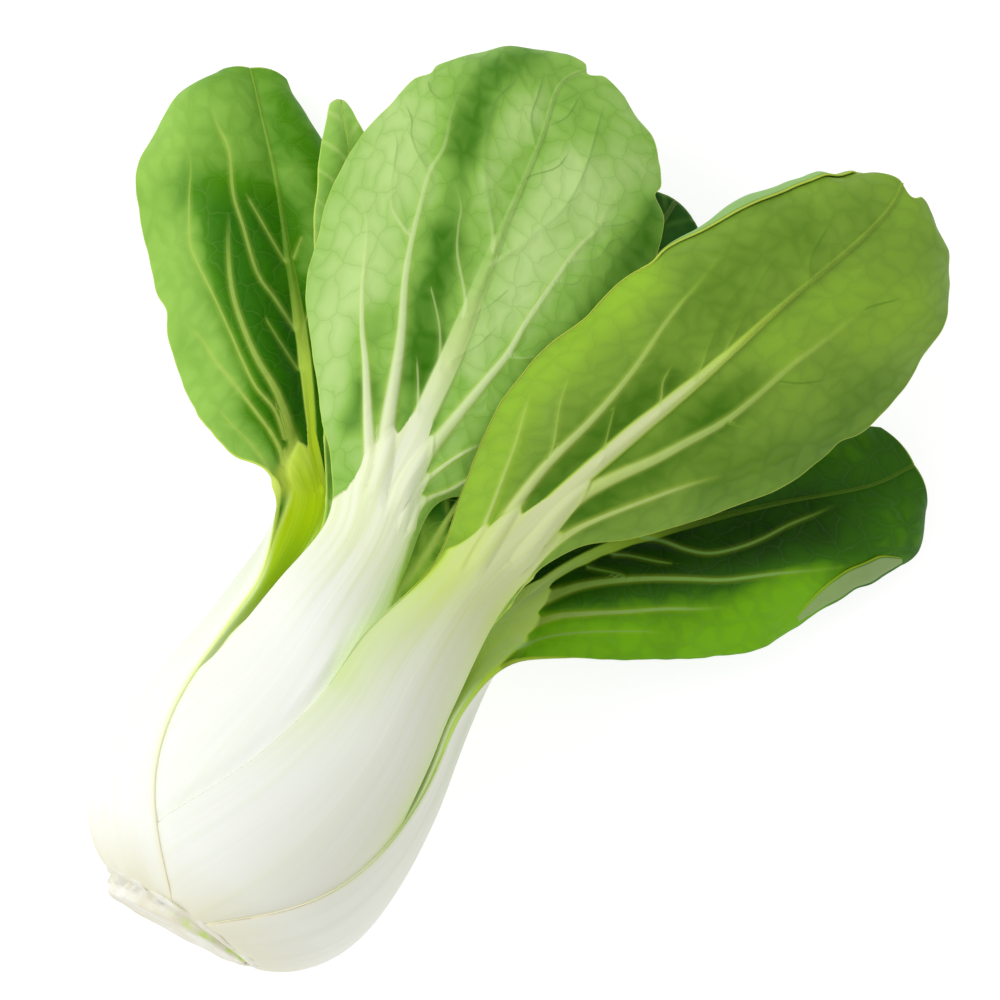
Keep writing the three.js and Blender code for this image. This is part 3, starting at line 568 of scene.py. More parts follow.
def bulb_radius(x):
    """Swells as (1 - (1 - s)^2.6)^0.62 from the butt to the widest place, then eases to the
    neck."""
    s = np.clip((x - BUTT_BACK_X) / (BULB_WIDEST_X - BUTT_BACK_X), 0, 1)
    inner, outer = BULB_SWELL_POWERS
    swell = BULB_START_RADIUS + (BULB_RADIUS - BULB_START_RADIUS) * (1 - (1 - s) ** inner) ** outer
    narrow = (BULB_RADIUS - NECK_RADIUS) * smooth((x - BULB_WIDEST_X) / (NECK_X - BULB_WIDEST_X))
    return np.where(x < BULB_WIDEST_X, swell, BULB_RADIUS - narrow)


def margin_angle(margin, x):
    """neck + flare * exp((6 - x) / 22)."""
    return margin[0] + margin[1] * np.exp((FLARE_X - x) / FLARE_LENGTH)


def rim_thickness(x):
    """Thickness of a stalk's margins: 0.7, and 0.4 of that in the bulb."""
    return RIM_THICKNESS * (RIM_BASE_SHARE + (1 - RIM_BASE_SHARE) * grown(x, RIM_GROWTH))


def base_share(x):
    """Share of a stalk's thickness: 0.3 at the butt, and all of it 22 mm on."""
    return BASE_THICKNESS_SHARE + (1 - BASE_THICKNESS_SHARE) * grown(x, BASE_GROWTH)


def crescent(s):
    """(1 - s^2)^1.2, and 0 past 1."""
    return np.maximum(0, 1 - s * s) ** CRESCENT_POWER


def stalk_thickness(leaf, x, v):
    """A crescent: rim + (middle - rim) * (1 - v^2)^1.2, thinner towards the butt."""
    rim = rim_thickness(x)
    return rim + (leaf["thickness"] * base_share(x) - rim) * crescent(v)


def cover_depth(rank, x, angle):
    """How deep the leaves over this place press a leaf: the sum of their thicknesses and gaps,
    each fading out past the covering leaf's margins."""
    packed = LAYER_GAP if rank < OUTER_LEAVES else INNER_LAYER_GAP
    gap = packed + (NECK_LAYER_GAP - packed) * grown(x, GAP_GROWTH)
    depth = 0 * angle
    for outer in LEAVES[:rank]:
        plus = margin_angle(outer["plus"], x)
        minus = margin_angle(outer["minus"], x)
        half = (plus - minus) / 2
        offset = angle - (plus + minus) / 2
        offset = offset - 360 * np.round(offset / 360)
        cover = 1 - smooth((np.abs(offset) - half - COVER_PAD) / COVER_FADE)
        v = np.clip(offset / half, -1, 1)
        depth = depth + cover * (stalk_thickness(outer, x, v) + gap)
    return depth


def leaf_angle(leaf, x, v):
    """Degrees round the axis: middle of the margins + v * half of the angle between them."""
    plus = margin_angle(leaf["plus"], x)
    minus = margin_angle(leaf["minus"], x)
    return (plus + minus) / 2 + v * (plus - minus) / 2


def radial(angle):
    """(0, sin a, 0.95 cos a)."""
    a = np.radians(angle)
    return np.stack([0 * a, np.sin(a), BULB_HEIGHT_RATIO * np.cos(a)], -1)


def bulb_point(leaf, x, v):
    """The axis point at x + (bulb radius - cover depth) * radial direction."""
    angle = leaf_angle(leaf, x, v)
    x = x + 0 * angle
    reach = bulb_radius(x) - cover_depth(leaf["rank"], x, angle)
    shift = NECK_SHIFT_Y * grown(x, NECK_SHIFT_GROWTH)
    axis = np.stack([x, AXIS_Y + shift, AXIS_Z + 0 * x], -1)
    return axis + reach[..., None] * radial(angle)


def prepare(leaf, rank):
    """Gives a leaf its rank and its three rails, which start on the bulb."""
    leaf["rank"] = rank
    leaf["lines"] = [
        np.vstack([
            bulb_point(leaf, np.array([float(BULB_END_X)]), v),
            bulb_point(leaf, np.array([float(RAIL_START_X)]), v),
            np.array([station[side] for station in leaf["rails"]], float),
        ])
        for side, v in enumerate((1, 0, -1))
    ]
    leaf["end"] = float(len(leaf["lines"][1]))


def bulb_x(leaf, u):
    """x of a leaf in the bulb, where u runs from 0 to 1."""
    return leaf["start"] + (BULB_END_X - leaf["start"]) * u


def base_sheet(leaf, u, v):
    """In the bulb for u up to 1, blended to the rails by 2, and from there the parabola
    M + v (P - N) / 2 + v^2 ((P + N) / 2 - M) across the rails P, M and N."""
    u = u + 0 * v
    v = v + 0 * u
    x = np.where(u <= 1, bulb_x(leaf, u),
                 BULB_END_X + (RAIL_START_X - BULB_END_X) * (np.minimum(u, 2) - 1))
    bulb = bulb_point(leaf, x, v)
    plus, middle, minus = (spline(line, np.maximum(u, 1) - 1) for line in leaf["lines"])
    w = v[..., None]
    rail = middle + w * (plus - minus) / 2 + w * w * ((plus + minus) / 2 - middle)
    return bulb + (rail - bulb) * smooth(u - 1)[..., None]


def unit(vectors):
    """Vectors at length 1."""
    return vectors / np.maximum(np.linalg.norm(vectors, axis=-1, keepdims=True), 1e-9)


def outward(leaf, u, v):
    """Away from the axis in the bulb, and square to the sheet past it."""
    step = 0.02
    along = base_sheet(leaf, np.minimum(leaf["end"], u + step), v) \
        - base_sheet(leaf, np.maximum(0, u - step), v)
    across = base_sheet(leaf, u, v + step) - base_sheet(leaf, u, v - step)
    square = unit(np.cross(along, across))
    out = radial(leaf_angle(leaf, bulb_x(leaf, np.minimum(1, u)), v + 0 * u))
    return out + (square - out) * smooth(u + 0 * v - 1)[..., None]


def ragged(leaf, u, v):
    """v pulled in near the margins by small waves of the margin and by its notches, each of
    them depth * exp(-((u - place) / width)^2), and all of it times |v|^5."""
    side = np.sign(v)
    phase = leaf["rank"] * 1.7 + side
    waves = sum(size * np.sin(pace * u + turn * phase) for size, pace, turn in MARGIN_WAVES)
    pull = MARGIN_WAVE * (waves + MARGIN_WAVE_LEVEL) * grown(u - leaf["blade"], MARGIN_WAVE_GROWTH)
    for where, place, width, depth in NOTCHES.get(leaf["name"], []):
        if where:
            pull = pull + (side == where) * depth * np.exp(-((u - place) / width) ** 2)
    return v * (1 - pull * np.abs(v) ** 5)


def tip_pull(leaf, u, v):
    """u pulled back near the tip by the notches in it, which are bells across v."""
    pull = 0 * (u + v)
    for where, place, width, depth in NOTCHES.get(leaf["name"], []):
        if not where:
            pull = pull + depth * np.exp(-((v - place) / width) ** 2)
    near = grown(u - leaf["end"], TIP_GROWTH)
    return u - 0.25 * pull * near ** 3


def sheet(leaf, u, v):
    """The base sheet, crowned by 4q^2 (1 - q) / (q + 0.1) between rib and margin, where q = |v|,
    and ruffled by q^3 (sin a + 0.4 sin(1.7 a + 1)) at the margin, where a is the turn of the
    waves along the blade."""
    v = ragged(leaf, u, v)
    u = tip_pull(leaf, u, v)
    along = np.maximum(0, (u - leaf["blade"]) / (leaf["end"] - leaf["blade"]))
    q = np.abs(v)
    rise = smooth(along / 0.3) * smooth((1.15 - along) / 0.4)
    crown = np.where(v > 0, leaf["crown"][0], leaf["crown"][1]) * 4 * q * q / (q + 0.1) * (1 - q)
    size, waves, phase = leaf["ruffle"]
    turn = 2 * np.pi * waves * along + phase + np.where(v > 0, 1.3, 0)
    wave = size * q ** 3 * (np.sin(turn) + 0.4 * np.sin(1.7 * turn + 1))
    lift = (rise * (crown + wave))[..., None]
    return base_sheet(leaf, u, v) + lift * outward(leaf, u, v)


def hemmed_sheet(leaf, u, v):
    """The sheet with one margin folded back: past the share of the half width that stays flat,
    the sheet turns back at the outline and lies over itself, a little off. Also returns how far
    into the fold each point lies, from 0 at the crease to 1."""
    hem = HEMS.get(leaf["name"])
    if hem is None:
        return sheet(leaf, u, v), 0 * (u + v)
    u = u + 0 * v
    v = v + 0 * u
    window = smooth((u - hem["start"]) / hem["ramp"]) * smooth((hem["end"] - u) / 0.5)
    q = np.abs(v)
    flat = 1 - hem["share"]
    past = np.where(v * hem["side"] > 0, np.maximum(q - flat, 0) / hem["share"], 0)
    share = hem["share"] * (0.03 + 0.97 * window)
    shown = np.where(past > 0, 1 - past * share, np.where(v * hem["side"] > 0, q / flat, q))
    place = sheet(leaf, u, np.sign(v) * shown)
    lift = hem["lift"] * np.sin(np.pi / 2 * np.clip(past / 0.35, 0, 1)) * np.sqrt(window)
    return place + lift[..., None] * outward(leaf, u, np.sign(v) * shown), past * (window > 0.02)


def even_rows(leaf, count):
    """u of each row: even steps along the midrib, longer ones in the plain stalk."""
    fine = np.linspace(0, leaf["end"], 1500)
    middle = base_sheet(leaf, fine, np.zeros_like(fine))
    steps = np.linalg.norm(np.diff(middle, axis=0), axis=1)
    steps = steps * np.where(fine[1:] < leaf["blade"] - FINE_ROWS_BEFORE, PLAIN_ROW_DENSITY, 1)
    reach = np.concatenate([[0], np.cumsum(steps)])
    return np.interp(np.linspace(0, reach[-1], count), reach, fine)


def even_columns(count):
    """v of each column: even steps, and close ones at each margin to round it."""
    rim = np.array(RIM_COLUMNS)
    inner = np.linspace(-LAST_EVEN_COLUMN, LAST_EVEN_COLUMN, count - 2 * len(rim) - 2)
    return np.concatenate([[-1], -rim, inner, rim[::-1], [1]])


def leaf_grid(leaf):
    """u of a leaf's rows and v of its columns. A fold follows a column."""
    rows, columns = GRIDS.get(leaf["name"], PLAIN_GRID)
    u = even_rows(leaf, rows)[:, None]
    v = even_columns(columns)[None, :]
    hem = HEMS.get(leaf["name"])
    if hem:
        crease = hem["side"] * (1 - hem["share"])
        v[0, np.argmin(np.abs(v - crease))] = crease
    return u, v


def measure(leaf, u, v, place):
    """Where the points of a leaf lie, in millimetres: across from the midrib, half from the
    midrib to the margin there, along from the base, past from the foot of the blade, and edge
    in from the nearest border. share runs from 0 to 1 along the blade. The stalk's half width
    falls to the midrib's as rib + (stalk - rib) * exp(-past / taper), and s runs from 0 in its
    middle to 1 at its sides."""
    middle = int(np.argmin(np.abs(v)))
    steps = np.linalg.norm(np.diff(place, axis=1), axis=-1)
    reach = np.concatenate([np.zeros((len(place), 1)), np.cumsum(steps, axis=1)], axis=1)
    across = reach - reach[:, middle:middle + 1]
    half = np.where(v >= 0, across[:, -1:], -across[:, :1])
    steps = np.linalg.norm(np.diff(place[:, middle], axis=0), axis=-1)
    along = np.concatenate([[0], np.cumsum(steps)])[:, None]
    blade_at = np.interp(leaf["blade"], u[:, 0], along[:, 0])
    past = along - blade_at
    share = np.clip(past / (along[-1] - blade_at), 0, 1)

    rib = leaf.get("rib", RIB_HALF_WIDTH)
    rib = rib + (RIB_TIP_HALF_WIDTH - rib) * grown(share, RIB_THINNING)
    foot = int(np.argmin(np.abs(u[:, 0] - leaf["blade"])))
    stalk = np.where(v >= 0, across[foot, -1], -across[foot, 0])
    narrow = rib + (stalk - rib) * np.exp(-np.maximum(past, 0) / RIB_TAPER)
    width = np.where(past > 0, np.minimum(narrow, half), half)
    s = np.clip(across / np.maximum(width, 0.05), -1, 1)

    edge = np.minimum(half - np.abs(across), along[-1] - along)
    edge = np.minimum(edge, along)
    return SimpleNamespace(u=u, v=v, x=bulb_x(leaf, np.minimum(u, 1)), across=across, half=half,
                           along=along, past=past, share=share, rib=rib, stalk=stalk, s=s,
                           edge=edge)


def leaf_thickness(leaf, at, sizes):
    """thin + (thick - thin) * (1 - s^2)^1.2: the stalk's rim thins to the blade, and its middle
    thins to 0.12 of the stalk along the midrib."""
    thin = rim_thickness(at.x)
    thin = thin + (sizes.blade_thickness * 1000 - thin) * grown(at.u, BLADE_THINNING)
    thinning = (leaf.get("thinning", STALK_START_THINNING), STALK_THINNING_LENGTH)
    fall = 1 - STALK_THINNING_SHARE * grown(at.u, thinning)
    thick = np.maximum(leaf["thickness"] * base_share(at.x) * fall, thin)
    return thin + (thick - thin) * crescent(at.s)


# ---- veins and painted light and shade --------------------------------------------------------

def off_span(plan, a, b):
    """From the nearest point of the span a to b to each point of the plan, and how far along
    the span that nearest point lies, from 0 to 1."""
    run = b - a
    t = np.clip(((plan - a) @ run) / (run @ run), 0, 1)
    return plan - a - t[..., None] * run, t


def vein_field(plan, veins):
    """For each point of the plan, the nearest side vein: signed distance, half width, paleness,
    and how far it has risen there. part runs from 0 to 1 along a vein. Its half width goes as
    (1 - part)^3 and its paleness as part^0.8. It rises at its start and sinks again over its
    last quarter, and counts as further off where it has not risen."""
    best = np.full(plan.shape[:-1], 1e3)
    side = np.full(plan.shape[:-1], NO_VEIN)
    start = np.zeros(plan.shape[:-1])
    half = np.full(plan.shape[:-1], LEAST_VEIN)
    tone = np.zeros(plan.shape[:-1])
    for half_from, half_to, tone_from, tone_to, points in veins:
        steps = 4 * (len(points) - 1)
        line = spline(points, np.linspace(0, len(points) - 1, steps + 1))
        for k in range(steps):
            run = line[k + 1] - line[k]
            off, t = off_span(plan, line[k], line[k + 1])
            away = np.hypot(off[..., 0], off[..., 1])
            part = (k + t) / steps
            width = half_to + (half_from - half_to) * (1 - part) ** 3
            shown = smooth((k + t) * np.hypot(*run) / (VEIN_RISE * half_from)) \
                * smooth(4 - 4 * part)
            late = UNRISEN_VEIN * (1 - shown)
            closer = away - width + late < best
            best = np.where(closer, away - width + late, best)
            turn = np.sign(run[0] * off[..., 1] - run[1] * off[..., 0])
            side = np.where(closer, away * np.where(turn == 0, 1, turn), side)
            half = np.where(closer, width, half)
            start = np.where(closer, shown, start)
            tone = np.where(closer, tone_from + (tone_to - tone_from) * part ** 0.8, tone)
    return side, half, tone, start


def pinnate_field(along, across):
    """Evenly spaced side veins that leave the midrib at a slant and curve towards the tip:
    signed distance, half width, paleness, and how far each has risen from the midrib. They run
    where along - 1.15 q - 0.012 q^2, shifted by 1.5 on either side, is a whole number of
    spacings, with q = |across|. 0.62 turns a distance along into one square to the vein."""
    q = np.abs(across)
    phase = (along - 1.15 * q - 0.012 * q * q + 1.5 * np.sign(across)) / VEIN_SPACING
    away = (phase - np.round(phase)) * VEIN_SPACING * 0.62
    return away, 0.18 + 0.3 * np.exp(-q / 9), 0.35 * np.exp(-q / 12), smooth(q / 2)


def painted_light_field(plan, painted_washes):
    """Painted light and shade: sum of amount * exp(-(distance / half width)^2) over the washes."""
    total = np.zeros(plan.shape[:-1])
    for amount, width, points in painted_washes:
        line = spline(points, np.linspace(0, len(points) - 1, 3 * (len(points) - 1) + 1))
        away = np.full(plan.shape[:-1], 1e3)
        for a, b in zip(line[:-1], line[1:]):
            off = off_span(plan, a, b)[0]
            away = np.minimum(away, np.hypot(off[..., 0], off[..., 1]))
        total = total + amount * np.exp(-(away / width) ** 2)
    return np.tanh(1.3 * total)


def leaf_veins(leaf, at, place, fold):
    """Side veins and painted light and shade of a leaf: its own where it shows its blade, and
    evenly spaced veins with a tone that waves across and along elsewhere. far is the plain
    distance, and ripe how far the veins have grown up the stalk."""
    layout = VEINS.get(leaf["name"])
    if layout:
        height = place[..., 2] - layout["height"]
        plan = np.stack([place[..., 0] + PLAN_LEAN * height, place[..., 1]], -1)
        side, half, tone, start = vein_field(plan, layout["veins"])
        # Painted light and shade over the blade.
        painted_light_and_tone = painted_light_field(plan, PAINTED_LIGHT_WASHES[leaf["name"]])
    else:
        side, half, tone, start = pinnate_field(at.past + 0 * at.v, at.across)
        painted_light_and_tone = 0.5 * np.sin(at.across * 0.35 + leaf["rank"]) * np.cos(at.along * 0.09)
    ripe = grown(at.past, VEIN_GROWTH) * (fold <= 0)
    side = np.where(ripe > 0.02, side, NO_VEIN)
    return SimpleNamespace(side=side, far=np.abs(side), half=half, tone=tone, start=start,
                           painted_light_and_tone=painted_light_and_tone, ripe=ripe)


# ---- faces of a leaf --------------------------------------------------------------------------

def leaf_faces(leaf, at, veins, place, thickness, sizes):
    """Outer and inner face of a leaf as two grids of points with a common border.

    outer = S + n (rib relief + vein relief - rounding), inner = S - n (thickness + 0.3 vein
    relief - rounding), where S is the sheet, moved along the way out n at the grooves of the
    veins and roughened by crossed sine waves at the cut. The rounding is a quarter circle, and
    a vein's relief goes as half * (1 - (far / (1.25 half + 0.15))^2)^1.2 across it."""
    down, right = np.gradient(place, axis=0), np.gradient(place, axis=1)
    square = unit(np.cross(down, right))
    angle = leaf_angle(leaf, at.x, at.v)
    away = radial(leaf_angle(leaf, at.x, at.v + 0 * at.u))
    normal = away + (square - away) * smooth((at.u - 1) / 0.8 + 0 * at.v)[..., None]

    crest = np.maximum(0, 1 - (veins.far / (veins.half * 1.25 + 0.15)) ** 2) ** 1.2 \
        * veins.half * veins.ripe
    crest = crest * sizes.vein_relief * veins.start
    sunk = GROOVE_DEPTH * np.exp(-(veins.far / GROOVE_HALF_WIDTH) ** 2) * veins.ripe * veins.start \
        * smooth(at.edge / 3) * smooth(at.past / 10)
    fade = grown(at.u, RELIEF_GROWTH) * (1 - 0.7 * smooth((at.u - 4) / (leaf["end"] - 4)))
    relief = RIB_RELIEF * fade * (1 - at.s * at.s)
    edge_half = thickness / 2
    rounding = edge_half * (1 - np.sqrt(1 - (1 - np.clip(at.edge / edge_half, 0, 1)) ** 2))
    torn = np.exp(-np.maximum(at.x - CUT_X, 0) / CUT_LENGTH) * (at.u <= 1)
    rough = CUT_ROUGHNESS * torn * np.sin(angle * 0.19 + 5 * leaf["rank"]) \
        * np.sin(1.4 * at.x + angle * 0.13)

    place = place + normal * (sunk + rough)[..., None]
    outer = place + normal * (relief + crest - rounding)[..., None]
    inner = place - normal * (thickness + 0.3 * crest - rounding)[..., None]
    rim = np.zeros(outer.shape[:2], bool)
    rim[[0, -1]] = True
    rim[:, [0, -1]] = True
    inner[rim] = outer[rim]
    for face in (outer, inner):
        face[..., 2] = np.maximum(face[..., 2], 0)
    return outer, inner


def leaf_facts(leaf, at, veins, fold):
    """What the finish of a leaf needs to know at every point.

    The white of the stalk narrows to the midrib over the fan, as rib + (stalk - rib) *
    left^0.8, where left falls from 1 to 0, and green bays run down it between the veins."""
    first, last = (np.where(at.v >= 0, *pair) for pair in zip(*leaf["fan"]))
    free = np.clip(np.minimum(veins.far - veins.half, np.abs(at.across) - at.rib), 0, 2.4)
    bay = leaf.get("bay", BAY_DEPTH) * free * grown(at.past, BAY_GROWTH)
    left = np.clip((last - at.past - bay) / (last - first), 0, 1)
    # border is the distance past the white's side, over its soft width, which is 1.3 mm down
    # the stalk and 0.45 mm out on the blade.
    soft = SOFT_BORDER + SOFTER_BORDER * smooth((10 - at.past) / 20)
    wide = at.stalk + (at.half - at.stalk) * smooth(-at.past / 8)
    strip = np.where(at.v >= 0, *leaf["strips"]) * grown(at.past, STRIP_GROWTH)
    white = np.minimum(at.rib + (wide - at.rib) * left ** 0.8 + soft * left,
                       at.half + soft - 1.6 * strip)

    # The neck's tint comes to the margins after the middle, and the painted shade of the hollow
    # stays between.
    neck_from, neck_length, hollow = NECKS.get(leaf["name"], PLAIN_NECK)
    tinge = smooth((at.past + neck_from) / neck_length)
    inset = smooth((at.half - np.abs(at.across)) / 5)
    hollow = hollow * smooth((at.past + neck_from - 14) / 44) * smooth((-at.past - 2) / 14)
    # Painted light: light through the margins is painted as strength * exp(-(way in / width)^1.5),
    # and through the flanks of the narrowing white as (across / white)^3.
    glow = [np.where(at.v >= 0, *pair)
            for pair in zip(*GLOWS.get(leaf["name"], PLAIN_GLOW))]
    reach = np.maximum(at.half - np.abs(at.across), 0) / glow[0]
    glow = (glow[1] + (glow[2] - glow[1]) * smooth(at.u - 0.4)) * np.exp(-reach ** 1.5)
    flank = np.clip(np.abs(at.across) / np.maximum(white, 0.1), 0, 1) ** 3
    flank = flank * np.where(at.v < 0, *FLANK_GLOWS) * grown(at.past, FLANK_GROWTH)
    facts = {
        "border": np.clip((np.abs(at.across) - white) / soft, -FAR_BORDER, FAR_BORDER),
        "across": at.across,
        "neck": tinge * (inset + (1 - inset) * grown(at.past, NECK_EDGE_GROWTH)),
        "hollow": hollow * smooth((at.half - np.abs(at.across) - 2) / 4.5),
        "glow": np.maximum(glow, flank),
        "minus": smooth(0.5 - 0.75 * at.v),
        "distant": grown(at.share, (leaf.get("fading", FADING_START), FADING_LENGTH)),
        "edge": at.edge,
        "vein_side": np.clip(veins.side, -FAR_VEIN, FAR_VEIN),
        "vein_far": np.minimum(veins.far, FAR_VEIN),
        "vein_half": veins.half,
        "vein_tone": veins.tone,
        "vein_start": veins.start,
        # Painted light and shade, fading out down the stalk.
        "painted_light_and_tone": veins.painted_light_and_tone * smooth(at.past / 12 + 0.6),
        "fold": np.minimum(fold, 1),
    }
    return {key: fact + 0 * (at.u + at.v) for key, fact in facts.items()}


# ---- materials --------------------------------------------------------------------------------

def node(tree, kind, inputs=None, out=0, stops=None, **settings):
    """Adds a node, sets it and links its inputs, and returns the output asked for. An input is
    a value or another node's output."""
    new = tree.nodes.new(kind)
    for key, value in settings.items():
        setattr(new, key, value)
    for key, value in (inputs or {}).items():
        if isinstance(value, bpy.types.NodeSocket):
            tree.links.new(value, new.inputs[key])
        else:
            new.inputs[key].default_value = value
    if stops:
        ramp = new.color_ramp
        while len(ramp.elements) < len(stops):
            ramp.elements.new(0.5)
        for element, (place, shade) in zip(ramp.elements, stops):
            element.position = place
            element.color = (*shade[:3], 1)
    return new.outputs[out]


def new_material(name):
    """An empty node material and its tree."""
    material = bpy.data.materials.new(name)
    material.use_nodes = True
    material.node_tree.nodes.clear()
    return material, material.node_tree


def finish_material(tree, surface):
    """Links a shader to the material's output."""
    end = tree.nodes.new("ShaderNodeOutputMaterial")
    tree.links.new(surface, end.inputs["Surface"])


def leaf_patterns(tree, fact):
    """Patterns on the leaf, from its UV map and facts in millimetres: fine and broad strands
    of the stalk, the net of fine veins and the quilting between them, and clouds."""
    place = node(tree, "ShaderNodeTexCoord", out=3)
    flat = node(tree, "ShaderNodeUVMap", uv_map="surface_mm")

    # Strands along the stalk, about 1.2 mm apart and 60 mm long, on ribs about 6 mm apart.
    strand_map = node(tree, "ShaderNodeMapping", {0: flat, 3: (0.85, 0.017, 1)})
    strands = node(tree, "ShaderNodeTexNoise", {"Vector": strand_map, "Scale": 1, "Detail": 2},
                   noise_dimensions="2D")
    broad_map = node(tree, "ShaderNodeMapping", {0: flat, 3: (0.16, 0.012, 1)})
    broad = node(tree, "ShaderNodeTexNoise", {"Vector": broad_map, "Scale": 1, "Detail": 2},
                 noise_dimensions="2D")

    # A net of fine veins about 5 mm apart on the spread blade. Its lines wander by 2.6 mm.
    height = node(tree, "ShaderNodeSeparateXYZ", {0: flat}, 1)
    spread = node(tree, "ShaderNodeCombineXYZ", {0: fact["across"], 1: height})
    wander = node(tree, "ShaderNodeTexNoise", {"Vector": spread, "Scale": 0.26, "Detail": 1}, 1,
                  noise_dimensions="2D")
    shifted = node(tree, "ShaderNodeVectorMath", {0: wander, 1: (2.6, 2.6, 0), 2: spread},
                   operation="MULTIPLY_ADD")
    cells = node(tree, "ShaderNodeTexVoronoi", {"Vector": shifted, "Scale": 0.2},
                 feature="DISTANCE_TO_EDGE", voronoi_dimensions="2D")
    net = node(tree, "ShaderNodeMapRange", {0: cells, 1: 0.0, 2: 0.045, 3: 1, 4: 0},
               interpolation_type="SMOOTHSTEP")
    quilt = node(tree, "ShaderNodeMapRange", {0: cells, 1: 0.0, 2: 0.35, 3: -1, 4: 1},
                 interpolation_type="SMOOTHSTEP")
    # Clouds about 13 mm across.
    clouds = node(tree, "ShaderNodeTexNoise", {"Vector": place, "Scale": 75, "Detail": 2})
    return SimpleNamespace(strands=strands, broad=broad, height=height, net=net, quilt=quilt,
                           clouds=clouds)


def side_vein_parts(tree, fact):
    """How much of a point is side vein, how much is the tissue beside one, and how pale the
    vein is there. Where two veins' sides meet, the signed distance crosses 0 without a vein,
    and the plain distance stands in for it."""
    beside = node(tree, "ShaderNodeMath", {0: fact["vein_side"]}, operation="ABSOLUTE")
    plain = node(tree, "ShaderNodeMath", {0: fact["vein_far"], 1: 0.35}, operation="SUBTRACT")
    beside = node(tree, "ShaderNodeMath", {0: beside, 1: plain}, operation="MAXIMUM")
    beyond = node(tree, "ShaderNodeMath", {0: beside, 1: fact["vein_half"]}, operation="DIVIDE")
    line = node(tree, "ShaderNodeMapRange", {0: beyond, 1: 0.55, 2: 1.35, 3: 1, 4: 0},
                interpolation_type="SMOOTHSTEP")
    apart = node(tree, "ShaderNodeMath", {0: fact["vein_far"], 1: fact["vein_half"]},
                 operation="SUBTRACT")
    line = node(tree, "ShaderNodeMath", {0: line, 1: fact["vein_start"]}, operation="MULTIPLY")
    flank = node(tree, "ShaderNodeMapRange", {0: apart, 1: -0.3, 2: 0.9, 3: 0.6, 4: 0},
                 interpolation_type="SMOOTHSTEP")
    toned = node(tree, "ShaderNodeMath", {0: fact["vein_tone"], 1: fact["vein_start"]},
                 operation="MULTIPLY", use_clamp=True)
    return line, flank, toned


def blade_green(tree, fact, pattern, flank, toned, shade, kind):
    """Blade colour: painted light and shade, painted light on the quilting, and clouds between deep
    and pale, dark or pale nets, and tissue that turns yellow-green beside the paler veins."""
    level = node(tree, "ShaderNodeMapRange", {0: pattern.clouds, 1: 0.3, 2: 0.7,
                                              3: -kind.mottle, 4: kind.mottle})
    # Painted light on the quilting: the middles of the cells lighter, their sides darker.
    quilt_shade = node(tree, "ShaderNodeMath", {0: pattern.quilt, 1: 0.07}, operation="MULTIPLY")
    level = node(tree, "ShaderNodeMath", {0: level, 1: quilt_shade}, operation="ADD")
    # Painted light and shade over the blade's green.
    level = node(tree, "ShaderNodeMath", {0: fact["painted_light_and_tone"], 1: level}, operation="ADD")
    level = node(tree, "ShaderNodeMapRange", {0: level, 1: -1, 2: 1, 3: 0, 4: 1})
    green = node(tree, "ShaderNodeValToRGB", {0: level},
                 stops=[(0, shade.deep), (0.5, shade.usual), (1, shade.pale)])
    net_part = node(tree, "ShaderNodeMath", {0: pattern.net, 1: kind.net_strength},
                    operation="MULTIPLY")
    net_colour = shade.deep if kind.back_shown else shade.vein
    green = node(tree, "ShaderNodeMix", {0: net_part, 6: green, 7: net_colour}, 2,
                 data_type="RGBA")
    flank = node(tree, "ShaderNodeMath", {0: flank, 1: toned}, operation="MULTIPLY")
    return node(tree, "ShaderNodeMix", {0: flank, 6: green, 7: shade.edge}, 2,
                data_type="RGBA")


